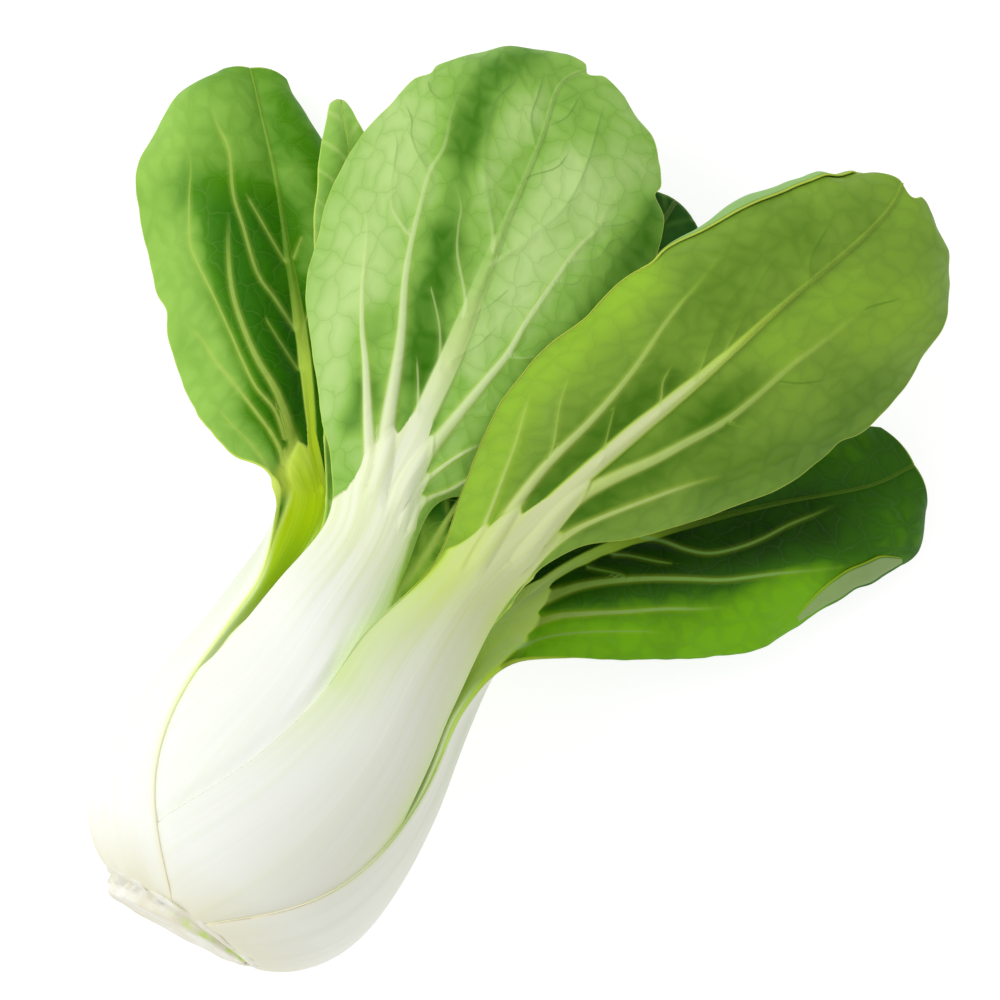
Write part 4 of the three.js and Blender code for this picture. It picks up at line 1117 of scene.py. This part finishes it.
def stalk_white(tree, fact, pattern, shade, kind):
    """Stalk colour: white, tinted at the neck, darkened by painted shade in its hollow and lit by
    painted light through its margins, with faint strands and a cream base. On some leaves the outer
    skin stays whiter than the inner one. Also returns the colour of the painted light through the
    margins, which the border takes."""
    skin_part = node(tree, "ShaderNodeMapRange", {0: fact["back"], 3: 1, 4: kind.skin_tint})
    tint = node(tree, "ShaderNodeMapRange", {0: pattern.broad, 1: 0.35, 2: 0.75, 3: 0, 4: 0.35})
    tint = node(tree, "ShaderNodeMath", {0: fact["neck"], 1: tint}, operation="ADD")
    taken = node(tree, "ShaderNodeMapRange", {0: fact["neck"], 3: 0.3, 4: 1})
    tint = node(tree, "ShaderNodeMath", {0: tint, 1: taken}, operation="MULTIPLY",
                use_clamp=True)
    tint = node(tree, "ShaderNodeMath", {0: tint, 1: skin_part}, operation="MULTIPLY")
    base = node(tree, "ShaderNodeMapRange", {0: pattern.height, 1: 3, 2: 16, 3: 1, 4: 0})
    base = node(tree, "ShaderNodeMath", {0: base, 1: pattern.broad}, operation="MULTIPLY")
    hollow = node(tree, "ShaderNodeMath", {0: fact["hollow"], 1: skin_part},
                  operation="MULTIPLY")
    # Painted shade in the hollow: halfway between the deep green and the glow.
    hollow_shade_colour = (*((np.array(shade.deep[:3]) + shade.glow[:3]) / 2), 1)
    strands = node(tree, "ShaderNodeMapRange", {0: pattern.strands, 1: 0.45, 2: 0.75,
                                                3: 0, 4: 0.3})
    shown = node(tree, "ShaderNodeMapRange", {0: tint, 3: 0.18, 4: 1})
    strands = node(tree, "ShaderNodeMath", {0: strands, 1: shown}, operation="MULTIPLY")
    glow_colour = node(tree, "ShaderNodeMix", {0: fact["minus"], 6: shade.glow, 7: shade.glow_minus},
                2, data_type="RGBA")
    fresh = node(tree, "ShaderNodeMapRange", {0: pattern.height, 1: 18, 2: 46, 3: 0, 4: 1})
    glow_colour = node(tree, "ShaderNodeMix", {0: fresh, 6: (*linear(MARGIN_CREAM), 1), 7: glow_colour}, 2,
                data_type="RGBA")
    # The bulb's minus side, away from the light, is painted in shade.
    white = shade.bulb
    for part, over in ((fact["minus"], shade.bulb_minus), (base, (*linear(BASE_CREAM), 1)),
                       (tint, shade.neck), (hollow, hollow_shade_colour), (strands, shade.edge),
                       (fact["glow"], glow_colour), (fact["distant"], shade.pale)):
        white = node(tree, "ShaderNodeMix", {0: part, 6: white, 7: over}, 2,
                     data_type="RGBA")
    return white, glow_colour


def blade_part(tree, fact):
    """How much of a point is blade: it grows across the border, and far out it takes the
    midrib too."""
    blade = node(tree, "ShaderNodeMapRange", {0: fact["border"], 1: -1, 2: 1, 3: 0, 4: 1},
                 interpolation_type="SMOOTHSTEP")
    faded = node(tree, "ShaderNodeMath", {0: fact["distant"], 1: 0.9}, operation="MULTIPLY")
    return node(tree, "ShaderNodeMath", {0: blade, 1: faded}, operation="MAXIMUM")


def border_layers(tree, blade, glow_colour, green):
    """The border runs from white through yellow-green, the colour of the painted light through the
    margins, to green.
    """
    half_way = node(tree, "ShaderNodeMapRange", {0: blade, 1: 0, 2: 0.55, 3: 0, 4: 1})
    full_way = node(tree, "ShaderNodeMapRange", {0: blade, 1: 0.35, 2: 1, 3: 0, 4: 1})
    return [(half_way, glow_colour), (full_way, green)]


def vein_layers(tree, fact, white, blade, line, toned, shade):
    """Side veins are as white as the stalk at their roots, pale where their tone is above 0,
    yellow-green before they fade, and below it painted shade darkens them as grooves."""
    pale = node(tree, "ShaderNodeMix", {0: toned, 6: shade.pale, 7: shade.vein}, 2,
                data_type="RGBA")
    root = node(tree, "ShaderNodeMapRange", {0: toned, 1: 0.5, 2: 0.85, 3: 0, 4: 1})
    pale = node(tree, "ShaderNodeMix", {0: root, 6: pale, 7: white}, 2, data_type="RGBA")
    part = node(tree, "ShaderNodeMapRange", {0: fact["vein_tone"], 1: -0.1, 2: 0.8,
                                             3: 0.1, 4: 0.95})
    off_stalk = node(tree, "ShaderNodeMapRange", {0: blade, 1: 0, 2: 0.15, 3: 0, 4: 1},
                     interpolation_type="SMOOTHSTEP")
    for factor in (line, off_stalk):
        part = node(tree, "ShaderNodeMath", {0: part, 1: factor}, operation="MULTIPLY")
    groove_shade = node(tree, "ShaderNodeMapRange", {0: fact["vein_tone"], 1: -0.3, 2: 0.1,
                                               3: 0.45, 4: 0})
    groove_shade = node(tree, "ShaderNodeMath", {0: groove_shade, 1: line}, operation="MULTIPLY")
    return [(part, pale), (groove_shade, shade.deep)]


def edge_layers(tree, fact, blade, shade, kind):
    """The very edge of the blade is a yellow-green line about 0.3 mm wide, and a folded hem
    shows the other side of the blade."""
    line = node(tree, "ShaderNodeMapRange", {0: fact["edge"], 1: 0.12, 2: 0.5, 3: 0.75, 4: 0},
                interpolation_type="SMOOTHSTEP")
    line = node(tree, "ShaderNodeMath", {0: line, 1: blade}, operation="MULTIPLY")
    hem = node(tree, "ShaderNodeMath", {0: fact["fold"], 1: 0.02}, operation="GREATER_THAN")
    edge_free = node(tree, "ShaderNodeMapRange", {0: fact["edge"], 1: 0.4, 2: 0.8, 3: 0, 4: 1})
    for factor in (0.8, edge_free):
        hem = node(tree, "ShaderNodeMath", {0: hem, 1: factor}, operation="MULTIPLY")
    turned = linear(HEM_FACE if kind.back_shown else HEM_BACK)
    return [(line, shade.edge), (hem, (*turned, 1))]


def leaf_relief(tree, pattern, blade, kind):
    """Relief in metres: strands 0.14 mm on ribs of 0.5 mm, and quilting 0.12 mm. Returns the
    bent normal and how much of the skin is stalk."""
    ribs = node(tree, "ShaderNodeMath", {0: pattern.broad, 1: 3.5}, operation="MULTIPLY")
    strand_high = node(tree, "ShaderNodeMath", {0: pattern.strands, 1: ribs}, operation="ADD")
    strand_high = node(tree, "ShaderNodeMath", {0: strand_high, 1: STRAND_RELIEF},
                       operation="MULTIPLY")
    bulk = node(tree, "ShaderNodeMath", {0: 1, 1: blade}, operation="SUBTRACT")
    strand_high = node(tree, "ShaderNodeMath", {0: strand_high, 1: bulk}, operation="MULTIPLY")
    quilt_high = -QUILT_RELIEF if kind.back_shown else QUILT_RELIEF
    net_high = node(tree, "ShaderNodeMath", {0: pattern.quilt, 1: quilt_high},
                    operation="MULTIPLY")
    net_high = node(tree, "ShaderNodeMath", {0: net_high, 1: blade}, operation="MULTIPLY")
    high = node(tree, "ShaderNodeMath", {0: strand_high, 1: net_high}, operation="ADD")
    return node(tree, "ShaderNodeBump", {"Strength": 0.9, "Distance": 1.0, "Height": high}), bulk


def leaf_material(name, codes, kind):
    """Living leaf: crisp white stalk running into green blade tissue, with a waxy bloom.

    The stalk is wet-looking white flesh with fine strands along it, and light shining through its
    thin margins is painted in yellow-green, with a faint glow. The blade has pale raised side
    veins, a net of fine veins about 5 mm across, a thin yellow edge, painted light and shade, and
    satin wax that gives broad soft highlights."""
    shade = SimpleNamespace(**{part: (*linear(code), 1) for part, code in zip(TINTS, codes)})
    kind = SimpleNamespace(**dict(zip(KIND_FACTS, kind)))
    material, tree = new_material(name)
    fact = {key: node(tree, "ShaderNodeAttribute", attribute_name=key, out=2)
            for key in LEAF_FACTS}
    pattern = leaf_patterns(tree, fact)
    line, flank, toned = side_vein_parts(tree, fact)
    green = blade_green(tree, fact, pattern, flank, toned, shade, kind)
    white, glow_colour = stalk_white(tree, fact, pattern, shade, kind)
    blade = blade_part(tree, fact)
    skin = white
    for part, over in (*border_layers(tree, blade, glow_colour, green),
                       *vein_layers(tree, fact, white, blade, line, toned, shade),
                       *edge_layers(tree, fact, blade, shade, kind)):
        skin = node(tree, "ShaderNodeMix", {0: part, 6: skin, 7: over}, 2, data_type="RGBA")
    normal, bulk = leaf_relief(tree, pattern, blade, kind)
    rough = node(tree, "ShaderNodeMapRange", {0: pattern.clouds, 1: 0.3, 2: 0.7,
                                              3: 0.42, 4: 0.56})

    # Painted glow: a faint emission stands for light that has passed through the flesh, and
    # brightens the stalk's inner face and its margins.
    inside = node(tree, "ShaderNodeMapRange", {0: fact["back"], 3: 0.32, 4: 0})
    painted_glow = node(tree, "ShaderNodeMath", {0: fact["glow"], 1: 0.14}, operation="MULTIPLY")
    painted_glow = node(tree, "ShaderNodeMath", {0: painted_glow, 1: inside}, operation="MAXIMUM")
    painted_glow = node(tree, "ShaderNodeMath", {0: painted_glow, 1: bulk}, operation="MULTIPLY")
    surface = node(tree, "ShaderNodeBsdfPrincipled", {
        "Base Color": skin, "Roughness": rough, "IOR": 1.42, "Normal": normal,
        "Specular IOR Level": 0.15, "Emission Color": skin, "Emission Strength": painted_glow,
    })
    finish_material(tree, surface)
    material.cycles.emission_sampling = "NONE"  # too faint to light anything else
    return material


def cut_stem_material(sizes):
    """Freshly cut stem: damp, fibrous cream pith, a green ring under the rind, and browned
    specks where it has dried."""
    material, tree = new_material("cut_stem_flesh")
    place = node(tree, "ShaderNodeTexCoord", out=3)
    ring = node(tree, "ShaderNodeAttribute", attribute_name="ring", out=2)
    # Fibres about 1.1 mm apart, and clouds about 4.5 mm across.
    fibres = node(tree, "ShaderNodeTexVoronoi", {"Vector": place, "Scale": 900})
    clouds = node(tree, "ShaderNodeTexNoise", {"Vector": place, "Scale": 220, "Detail": 5})
    skin = node(tree, "ShaderNodeValToRGB", {0: clouds},
                stops=[(0.3, linear(PITH_DARK)), (0.55, tuple(sizes.cut_colour)),
                       (0.8, linear(PITH_LIGHT))])
    dots = node(tree, "ShaderNodeMapRange", {0: fibres, 1: 0.1, 2: 0.35, 3: 0.15, 4: 0})
    skin = node(tree, "ShaderNodeMix", {0: dots, 6: skin, 7: (*linear(PITH_SPECKS), 1)}, 2,
                data_type="RGBA")
    torn = node(tree, "ShaderNodeMapRange", {0: clouds, 1: 0.42, 2: 0.6, 3: 0, 4: 1})
    band = node(tree, "ShaderNodeMapRange", {0: ring, 1: 0.2, 2: 0.8, 3: 0, 4: 1})
    band = node(tree, "ShaderNodeMath", {0: band, 1: torn}, operation="MULTIPLY")
    skin = node(tree, "ShaderNodeMix", {0: band, 6: skin, 7: (*sizes.ring_colour, 1)}, 2,
                data_type="RGBA")
    high = node(tree, "ShaderNodeMath", {0: clouds, 1: CUT_RELIEF}, operation="MULTIPLY")
    normal = node(tree, "ShaderNodeBump", {"Strength": 0.8, "Distance": 1.0, "Height": high})
    surface = node(tree, "ShaderNodeBsdfPrincipled", {
        "Base Color": skin, "Roughness": 0.62, "Normal": normal, "Subsurface Weight": 0.1,
        "Subsurface Radius": (0.8, 0.8, 0.5), "Subsurface Scale": 0.002,
    })
    finish_material(tree, surface)
    return material


def paper_material(sizes):
    """Matt grey paper that its own glow lifts to white, with a faint tooth 1.1 mm across."""
    material, tree = new_material("white_paper_floor")
    place = node(tree, "ShaderNodeTexCoord", out=3)
    tooth = node(tree, "ShaderNodeTexNoise", {"Vector": place, "Scale": 900, "Detail": 0},
                 noise_dimensions="2D")
    high = node(tree, "ShaderNodeMath", {0: tooth, 1: PAPER_RELIEF}, operation="MULTIPLY")
    normal = node(tree, "ShaderNodeBump", {"Strength": 0.5, "Distance": 1.0, "Height": high})
    surface = node(tree, "ShaderNodeBsdfPrincipled", {
        "Base Color": (*sizes.floor_colour, 1), "Roughness": 0.9, "Normal": normal,
        "Emission Color": (1, 1, 1, 1), "Emission Strength": FLOOR_GLOW,
    })
    finish_material(tree, surface)
    return material


# ---- meshes -----------------------------------------------------------------------------------

def head_to_row(points):
    """Millimetres in the head's frame to metres in the row's frame, from the stem's box."""
    low, high = STEM_BOX
    shift = np.array([high[0] - CORE_END_X / 1000, (low[1] + high[1]) / 2 - AXIS_Y / 1000, 0])
    return np.asarray(points) / 1000 + shift


def new_piece(name, points, quads, facts=None, uv=None):
    """A smooth mesh object in the row's frame, with its attributes and UV map."""
    mesh = bpy.data.meshes.new(name)
    mesh.vertices.add(len(points))
    mesh.vertices.foreach_set("co", head_to_row(points).astype(np.float32).ravel())
    mesh.loops.add(quads.size)
    mesh.loops.foreach_set("vertex_index", quads.astype(np.int32).ravel())
    mesh.polygons.add(len(quads))
    mesh.polygons.foreach_set("loop_start", np.arange(0, quads.size, 4, dtype=np.int32))
    mesh.polygons.foreach_set("use_smooth", np.ones(len(quads), bool))
    mesh.update(calc_edges=True)
    for key, values in (facts or {}).items():
        layer = mesh.attributes.new(key, "FLOAT", "POINT")
        layer.data.foreach_set("value", values.astype(np.float32))
    if uv is not None:
        layer = mesh.uv_layers.new(name="surface_mm")
        layer.data.foreach_set("uv", uv[quads.ravel()].astype(np.float32).ravel())
    if mesh.validate():
        raise RuntimeError(f"{name}: its mesh had bad faces")
    piece = bpy.data.objects.new(name, mesh)
    bpy.context.scene.collection.objects.link(piece)
    return piece


def shell(outer, inner):
    """Two grids with a common border as one closed set of quads, faces outwards. Returns the
    points and the quads, and picks the same points from any pair of grids."""
    rows, columns = outer.shape[:2]
    top = np.arange(rows * columns).reshape(rows, columns)
    bottom = top.copy()
    inside = (rows - 2) * (columns - 2)
    bottom[1:-1, 1:-1] = rows * columns + np.arange(inside).reshape(rows - 2, columns - 2)

    def corners(grid):
        return np.stack([grid[:-1, :-1], grid[1:, :-1], grid[1:, 1:], grid[:-1, 1:]], -1)

    def joined(a, b):
        return np.concatenate([a.reshape(rows * columns, *a.shape[2:]),
                               b[1:-1, 1:-1].reshape(inside, *b.shape[2:])])

    quads = np.concatenate([corners(top).reshape(-1, 4), corners(bottom).reshape(-1, 4)[:, ::-1]])
    return joined(outer, inner), quads, joined


def add_leaf(leaf, sizes, material):
    """Makes one leaf, which stands for its stalk and blade in the frame."""
    u, v = leaf_grid(leaf)
    place, fold = hemmed_sheet(leaf, u, v)
    at = measure(leaf, u, v, place)
    veins = leaf_veins(leaf, at, place, fold)
    thickness = leaf_thickness(leaf, at, sizes)
    outer, inner = leaf_faces(leaf, at, veins, place, thickness, sizes)
    points, quads, joined = shell(outer, inner)
    facts = {key: joined(fact, fact) for key, fact in leaf_facts(leaf, at, veins, fold).items()}
    facts["back"] = joined(np.ones(outer.shape[:2]), np.zeros(outer.shape[:2]))
    uv = np.stack([v * at.stalk + 0 * u, at.along + 0 * v], -1)
    piece = new_piece(f"bok_choy_{leaf['name']}_leaf", points, quads, facts, joined(uv, uv))
    piece.data.materials.append(material)
    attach(piece, "root")
    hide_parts(f"leaf_{leaf['name']}_stalk", f"leaf_{leaf['name']}_blade")


def add_leaves(leaves, sizes):
    """Makes each of the leaves with a tissue in its own colours."""
    for leaf in leaves:
        codes = LEAF_COLOURS.get(leaf["name"]) or LEAF_COLOURS[leaf["kind"]]
        kind = LEAF_KINDS.get(leaf["name"], PLAIN_KIND)
        add_leaf(leaf, sizes, leaf_material(f"{leaf['name']}_leaf_tissue", codes, kind))


# ---- the cut stem -----------------------------------------------------------------------------

# The stem's profile as (radius, x past the cut face): from the middle of the face over its rim
# to behind the leaf bases. The core behind it follows in straight lines.
STEM_PROFILE = [(0, 0.5), (4.4, 0.45), (8.8, 0.35), (12.6, 0.1), (14.2, 0), (14.8, 0.15),
                (15.1, 0.5), (15.2, 1.1), (15.35, 1.7), (15.8, 2.05), (16.4, 2.2), (17.2, 2.36),
                (18, 2.56), (18, 3.2), (13, 4.4)]
CORE_PROFILE = [(CORE_RADIUS, 4.4), (CORE_END_RADIUS, CORE_END_X), (0, CORE_END_X)]
STEM_ROWS = 90
STEM_COLUMNS = 192
STEM_WAVES = ((0.012, 5, 1), (0.009, 11, 0), (0.006, 23, 0))  # size, number, phase


def stem_surface():
    """The cut stem as a closed turned form, columns round the axis and rows along its profile.
    Its face is dished and its rim wavers by a few tenths of a millimetre. Also returns where
    its green ring shows."""
    turn = np.linspace(0, 2 * np.pi, STEM_COLUMNS + 1)[:-1][None, :]
    knots = np.array(STEM_PROFILE, float)
    face = spline(knots, np.linspace(0, len(knots) - 1, STEM_ROWS))[:, :, None]
    out = face[:, 0] / BUTT_RADIUS
    waver = sum(size * np.sin(count * turn + phase) for size, count, phase in STEM_WAVES)
    radius = face[:, 0] * (1 + (waver - 0.02) * out ** 2)
    side = smooth((face[:, 1] - 0.1) / 0.5) * smooth((out - 0.9) / 0.06)
    lump = side * smooth((face[:, 1] - 1.4) / 0.6)
    x = BUTT_FACE_X + face[:, 1] + 0.12 * out * np.sin(9 * turn) * np.sin(7 * out + 2) \
        - 0.25 * lump * np.sin(5 * turn + 2) * np.sin(13 * turn)
    core = np.array(CORE_PROFILE)
    radius = np.concatenate([radius, core[:, :1] + 0 * turn])
    x = np.concatenate([x, core[:, 1:] + 0 * turn])
    y = radius * np.sin(turn)
    z = radius * np.cos(turn)
    x = x - BUTT_SLANT * y * (x < BUTT_BACK_X)
    points = np.stack([x, AXIS_Y + y, AXIS_Z + z], -1)
    ring = side * smooth((0.5 - np.sin(turn)) / 0.9) * smooth((1.12 - out) / 0.08)
    return points, np.concatenate([ring, np.zeros((len(core), turn.size))])


def add_cut_stem(sizes):
    """Makes the cut stem, which stands for the stem in the frame."""
    points, ring = stem_surface()
    rows, columns = points.shape[:2]
    index = np.arange(rows * columns).reshape(rows, columns)
    after = np.roll(index, -1, axis=1)
    quads = np.stack([index[:-1], after[:-1], after[1:], index[1:]], -1)
    piece = new_piece("bok_choy_cut_stem", points.reshape(-1, 3), quads.reshape(-1, 4),
                      {"ring": ring.ravel()})
    piece.data.materials.append(cut_stem_material(sizes))
    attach(piece, "root")
    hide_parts("stem_base")


# ---- the stage --------------------------------------------------------------------------------

FLOOR_HALF = 3.0
FLOOR_Z = -2e-4
FLOOR_GLOW = 0.8
STAGE_MIDDLE = (106, -5, 25)  # millimetres in the head's frame
KEY_SIZE = 0.45
KEY_PLACE = (-0.25, 0.75, 0.8)  # metres from the middle
# The camera looks down, leaning from upright towards the butt, with the head lying from the
# lower left of the view to the upper right.
CAMERA_LEAN = 11
CAMERA_TURN = 56
CAMERA_LENS = 144
CAMERA_SENSOR = 36


def add_floor(scene, sizes):
    """A flat square of paper just under the head."""
    side = FLOOR_HALF
    mesh = bpy.data.meshes.new("paper_floor")
    mesh.from_pydata([(-side, -side, FLOOR_Z), (side, -side, FLOOR_Z), (side, side, FLOOR_Z),
                      (-side, side, FLOOR_Z)], [], [(0, 1, 2, 3)])
    floor = bpy.data.objects.new("paper_floor", mesh)
    floor.data.materials.append(paper_material(sizes))
    scene.collection.objects.link(floor)


def add_lights(scene, sizes, middle):
    """Even fill from all round, and one soft light from the left."""
    world = bpy.data.worlds.new("studio_fill")
    world.use_nodes = True
    fill = world.node_tree.nodes["Background"]
    fill.inputs["Color"].default_value = (1, 1, 1, 1)
    fill.inputs["Strength"].default_value = sizes.sky_strength
    scene.world = world
    light = bpy.data.lights.new("soft_key", "AREA")
    light.energy = sizes.key_power
    light.size = KEY_SIZE
    key = bpy.data.objects.new("soft_key", light)
    key.location = middle + Vector(KEY_PLACE)
    key.rotation_euler = (middle - key.location).to_track_quat("-Z", "Y").to_euler()
    scene.collection.objects.link(key)


def add_camera(scene, sizes, middle):
    """Its axes: look = (sin lean, 0, -cos lean), and right and up turned from the head's
    length towards its width."""
    lean, turn = math.radians(CAMERA_LEAN), math.radians(CAMERA_TURN)
    look = Vector((math.sin(lean), 0, -math.cos(lean)))
    along = Vector((math.cos(lean), 0, math.sin(lean)))
    beside = Vector((0, 1, 0))
    right = math.cos(turn) * along - math.sin(turn) * beside
    up = math.sin(turn) * along + math.cos(turn) * beside
    lens = bpy.data.cameras.new("camera")
    lens.lens = CAMERA_LENS
    lens.sensor_width = CAMERA_SENSOR
    camera = bpy.data.objects.new("camera", lens)
    turned = Matrix((right, up, -look)).transposed()
    camera.matrix_world = Matrix.Translation(middle - sizes.distance * look) @ turned.to_4x4()
    scene.collection.objects.link(camera)
    scene.camera = camera


# ---- what a user may change ---------------------------------------------------------------------

class BokChoyLeafSizes(bpy.types.PropertyGroup):
    blade_thickness: FloatProperty(name="Blade thickness", unit="LENGTH", default=0.00045,
                                   min=0.0002, description="Thickness of the leaf blades")
    vein_relief: FloatProperty(name="Vein relief", default=0.75, min=0, max=2,
                               description="Height of a side vein over its half width")


class BokChoyStemSizes(bpy.types.PropertyGroup):
    cut_colour: colour("Cut face", "Colour of the cut pith", "#ecebdd")
    ring_colour: colour("Ring", "Colour of the green ring under the rind", "#cfe37c")


class BokChoyStageSizes(bpy.types.PropertyGroup):
    floor_colour: colour("Floor", "Colour of the paper floor", "#a0a0a0")
    sky_strength: FloatProperty(name="Fill light", default=0.68, min=0,
                                description="Even light from all round")
    key_power: FloatProperty(name="Key light", default=4.4, min=0, unit="POWER",
                             description="Power of the soft light from the left")
    distance: FloatProperty(name="Camera distance", default=0.8, min=0.3, unit="LENGTH",
                            description="From the camera to the middle of the head")


# ---- operators ----------------------------------------------------------------------------------

class BOKCHOY_OT_outer_leaves(bpy.types.Operator):
    """Adds the five outer leaves"""

    bl_idname = "bok_choy.outer_leaves"
    bl_label = "Outer leaves"

    def execute(self, context):
        add_leaves(LEAVES[:OUTER_LEAVES], context.scene.bok_choy_leaves)
        return {"FINISHED"}


class BOKCHOY_OT_inner_leaves(bpy.types.Operator):
    """Adds the inner leaves and the heart leaf"""

    bl_idname = "bok_choy.inner_leaves"
    bl_label = "Inner leaves"

    def execute(self, context):
        add_leaves(LEAVES[OUTER_LEAVES:], context.scene.bok_choy_leaves)
        return {"FINISHED"}


class BOKCHOY_OT_cut_stem(bpy.types.Operator):
    """Adds the cut stem that carries the leaves"""

    bl_idname = "bok_choy.cut_stem"
    bl_label = "Cut stem"

    def execute(self, context):
        add_cut_stem(context.scene.bok_choy_stem)
        return {"FINISHED"}


class BOKCHOY_OT_stage(bpy.types.Operator):
    """Adds the floor, the lights and the camera"""

    bl_idname = "bok_choy.stage"
    bl_label = "Stage"

    def execute(self, context):
        sizes = context.scene.bok_choy_stage
        middle = Vector(head_to_row(STAGE_MIDDLE))
        add_floor(context.scene, sizes)
        add_lights(context.scene, sizes, middle)
        add_camera(context.scene, sizes, middle)
        context.scene.view_settings.view_transform = "Standard"
        return {"FINISHED"}


class BOKCHOY_PT_panel(bpy.types.Panel):
    """Lists the pieces and their sizes"""

    bl_idname = "BOKCHOY_PT_panel"
    bl_label = "Bok choy"
    bl_space_type = "VIEW_3D"
    bl_region_type = "UI"
    bl_category = "Bok choy"

    def draw(self, context):
        scene = context.scene
        for operators, group, names in (
            (("bok_choy.outer_leaves", "bok_choy.inner_leaves"), scene.bok_choy_leaves,
             ("blade_thickness", "vein_relief")),
            (("bok_choy.cut_stem",), scene.bok_choy_stem, ("cut_colour", "ring_colour")),
            (("bok_choy.stage",), scene.bok_choy_stage,
             ("floor_colour", "sky_strength", "key_power", "distance")),
        ):
            for name in operators:
                self.layout.operator(name)
            for name in names:
                self.layout.prop(group, name)


CLASSES = (BokChoyLeafSizes, BokChoyStemSizes, BokChoyStageSizes, BOKCHOY_OT_outer_leaves,
           BOKCHOY_OT_inner_leaves, BOKCHOY_OT_cut_stem, BOKCHOY_OT_stage, BOKCHOY_PT_panel)


def register():
    """Registers the classes and gives the scene their properties."""
    for one in CLASSES:
        bpy.utils.register_class(one)
    bpy.types.Scene.bok_choy_leaves = PointerProperty(type=BokChoyLeafSizes)
    bpy.types.Scene.bok_choy_stem = PointerProperty(type=BokChoyStemSizes)
    bpy.types.Scene.bok_choy_stage = PointerProperty(type=BokChoyStageSizes)


def unregister():
    """Takes both away again."""
    del bpy.types.Scene.bok_choy_stage
    del bpy.types.Scene.bok_choy_stem
    del bpy.types.Scene.bok_choy_leaves
    for one in reversed(CLASSES):
        bpy.utils.unregister_class(one)


def main():
    """Builds every piece and the stage."""
    register()
    for rank, leaf in enumerate(LEAVES):
        prepare(leaf, rank)
    bpy.ops.bok_choy.cut_stem()
    bpy.ops.bok_choy.outer_leaves()
    bpy.ops.bok_choy.inner_leaves()
    bpy.ops.bok_choy.stage()


if __name__ == "__main__":
    main()
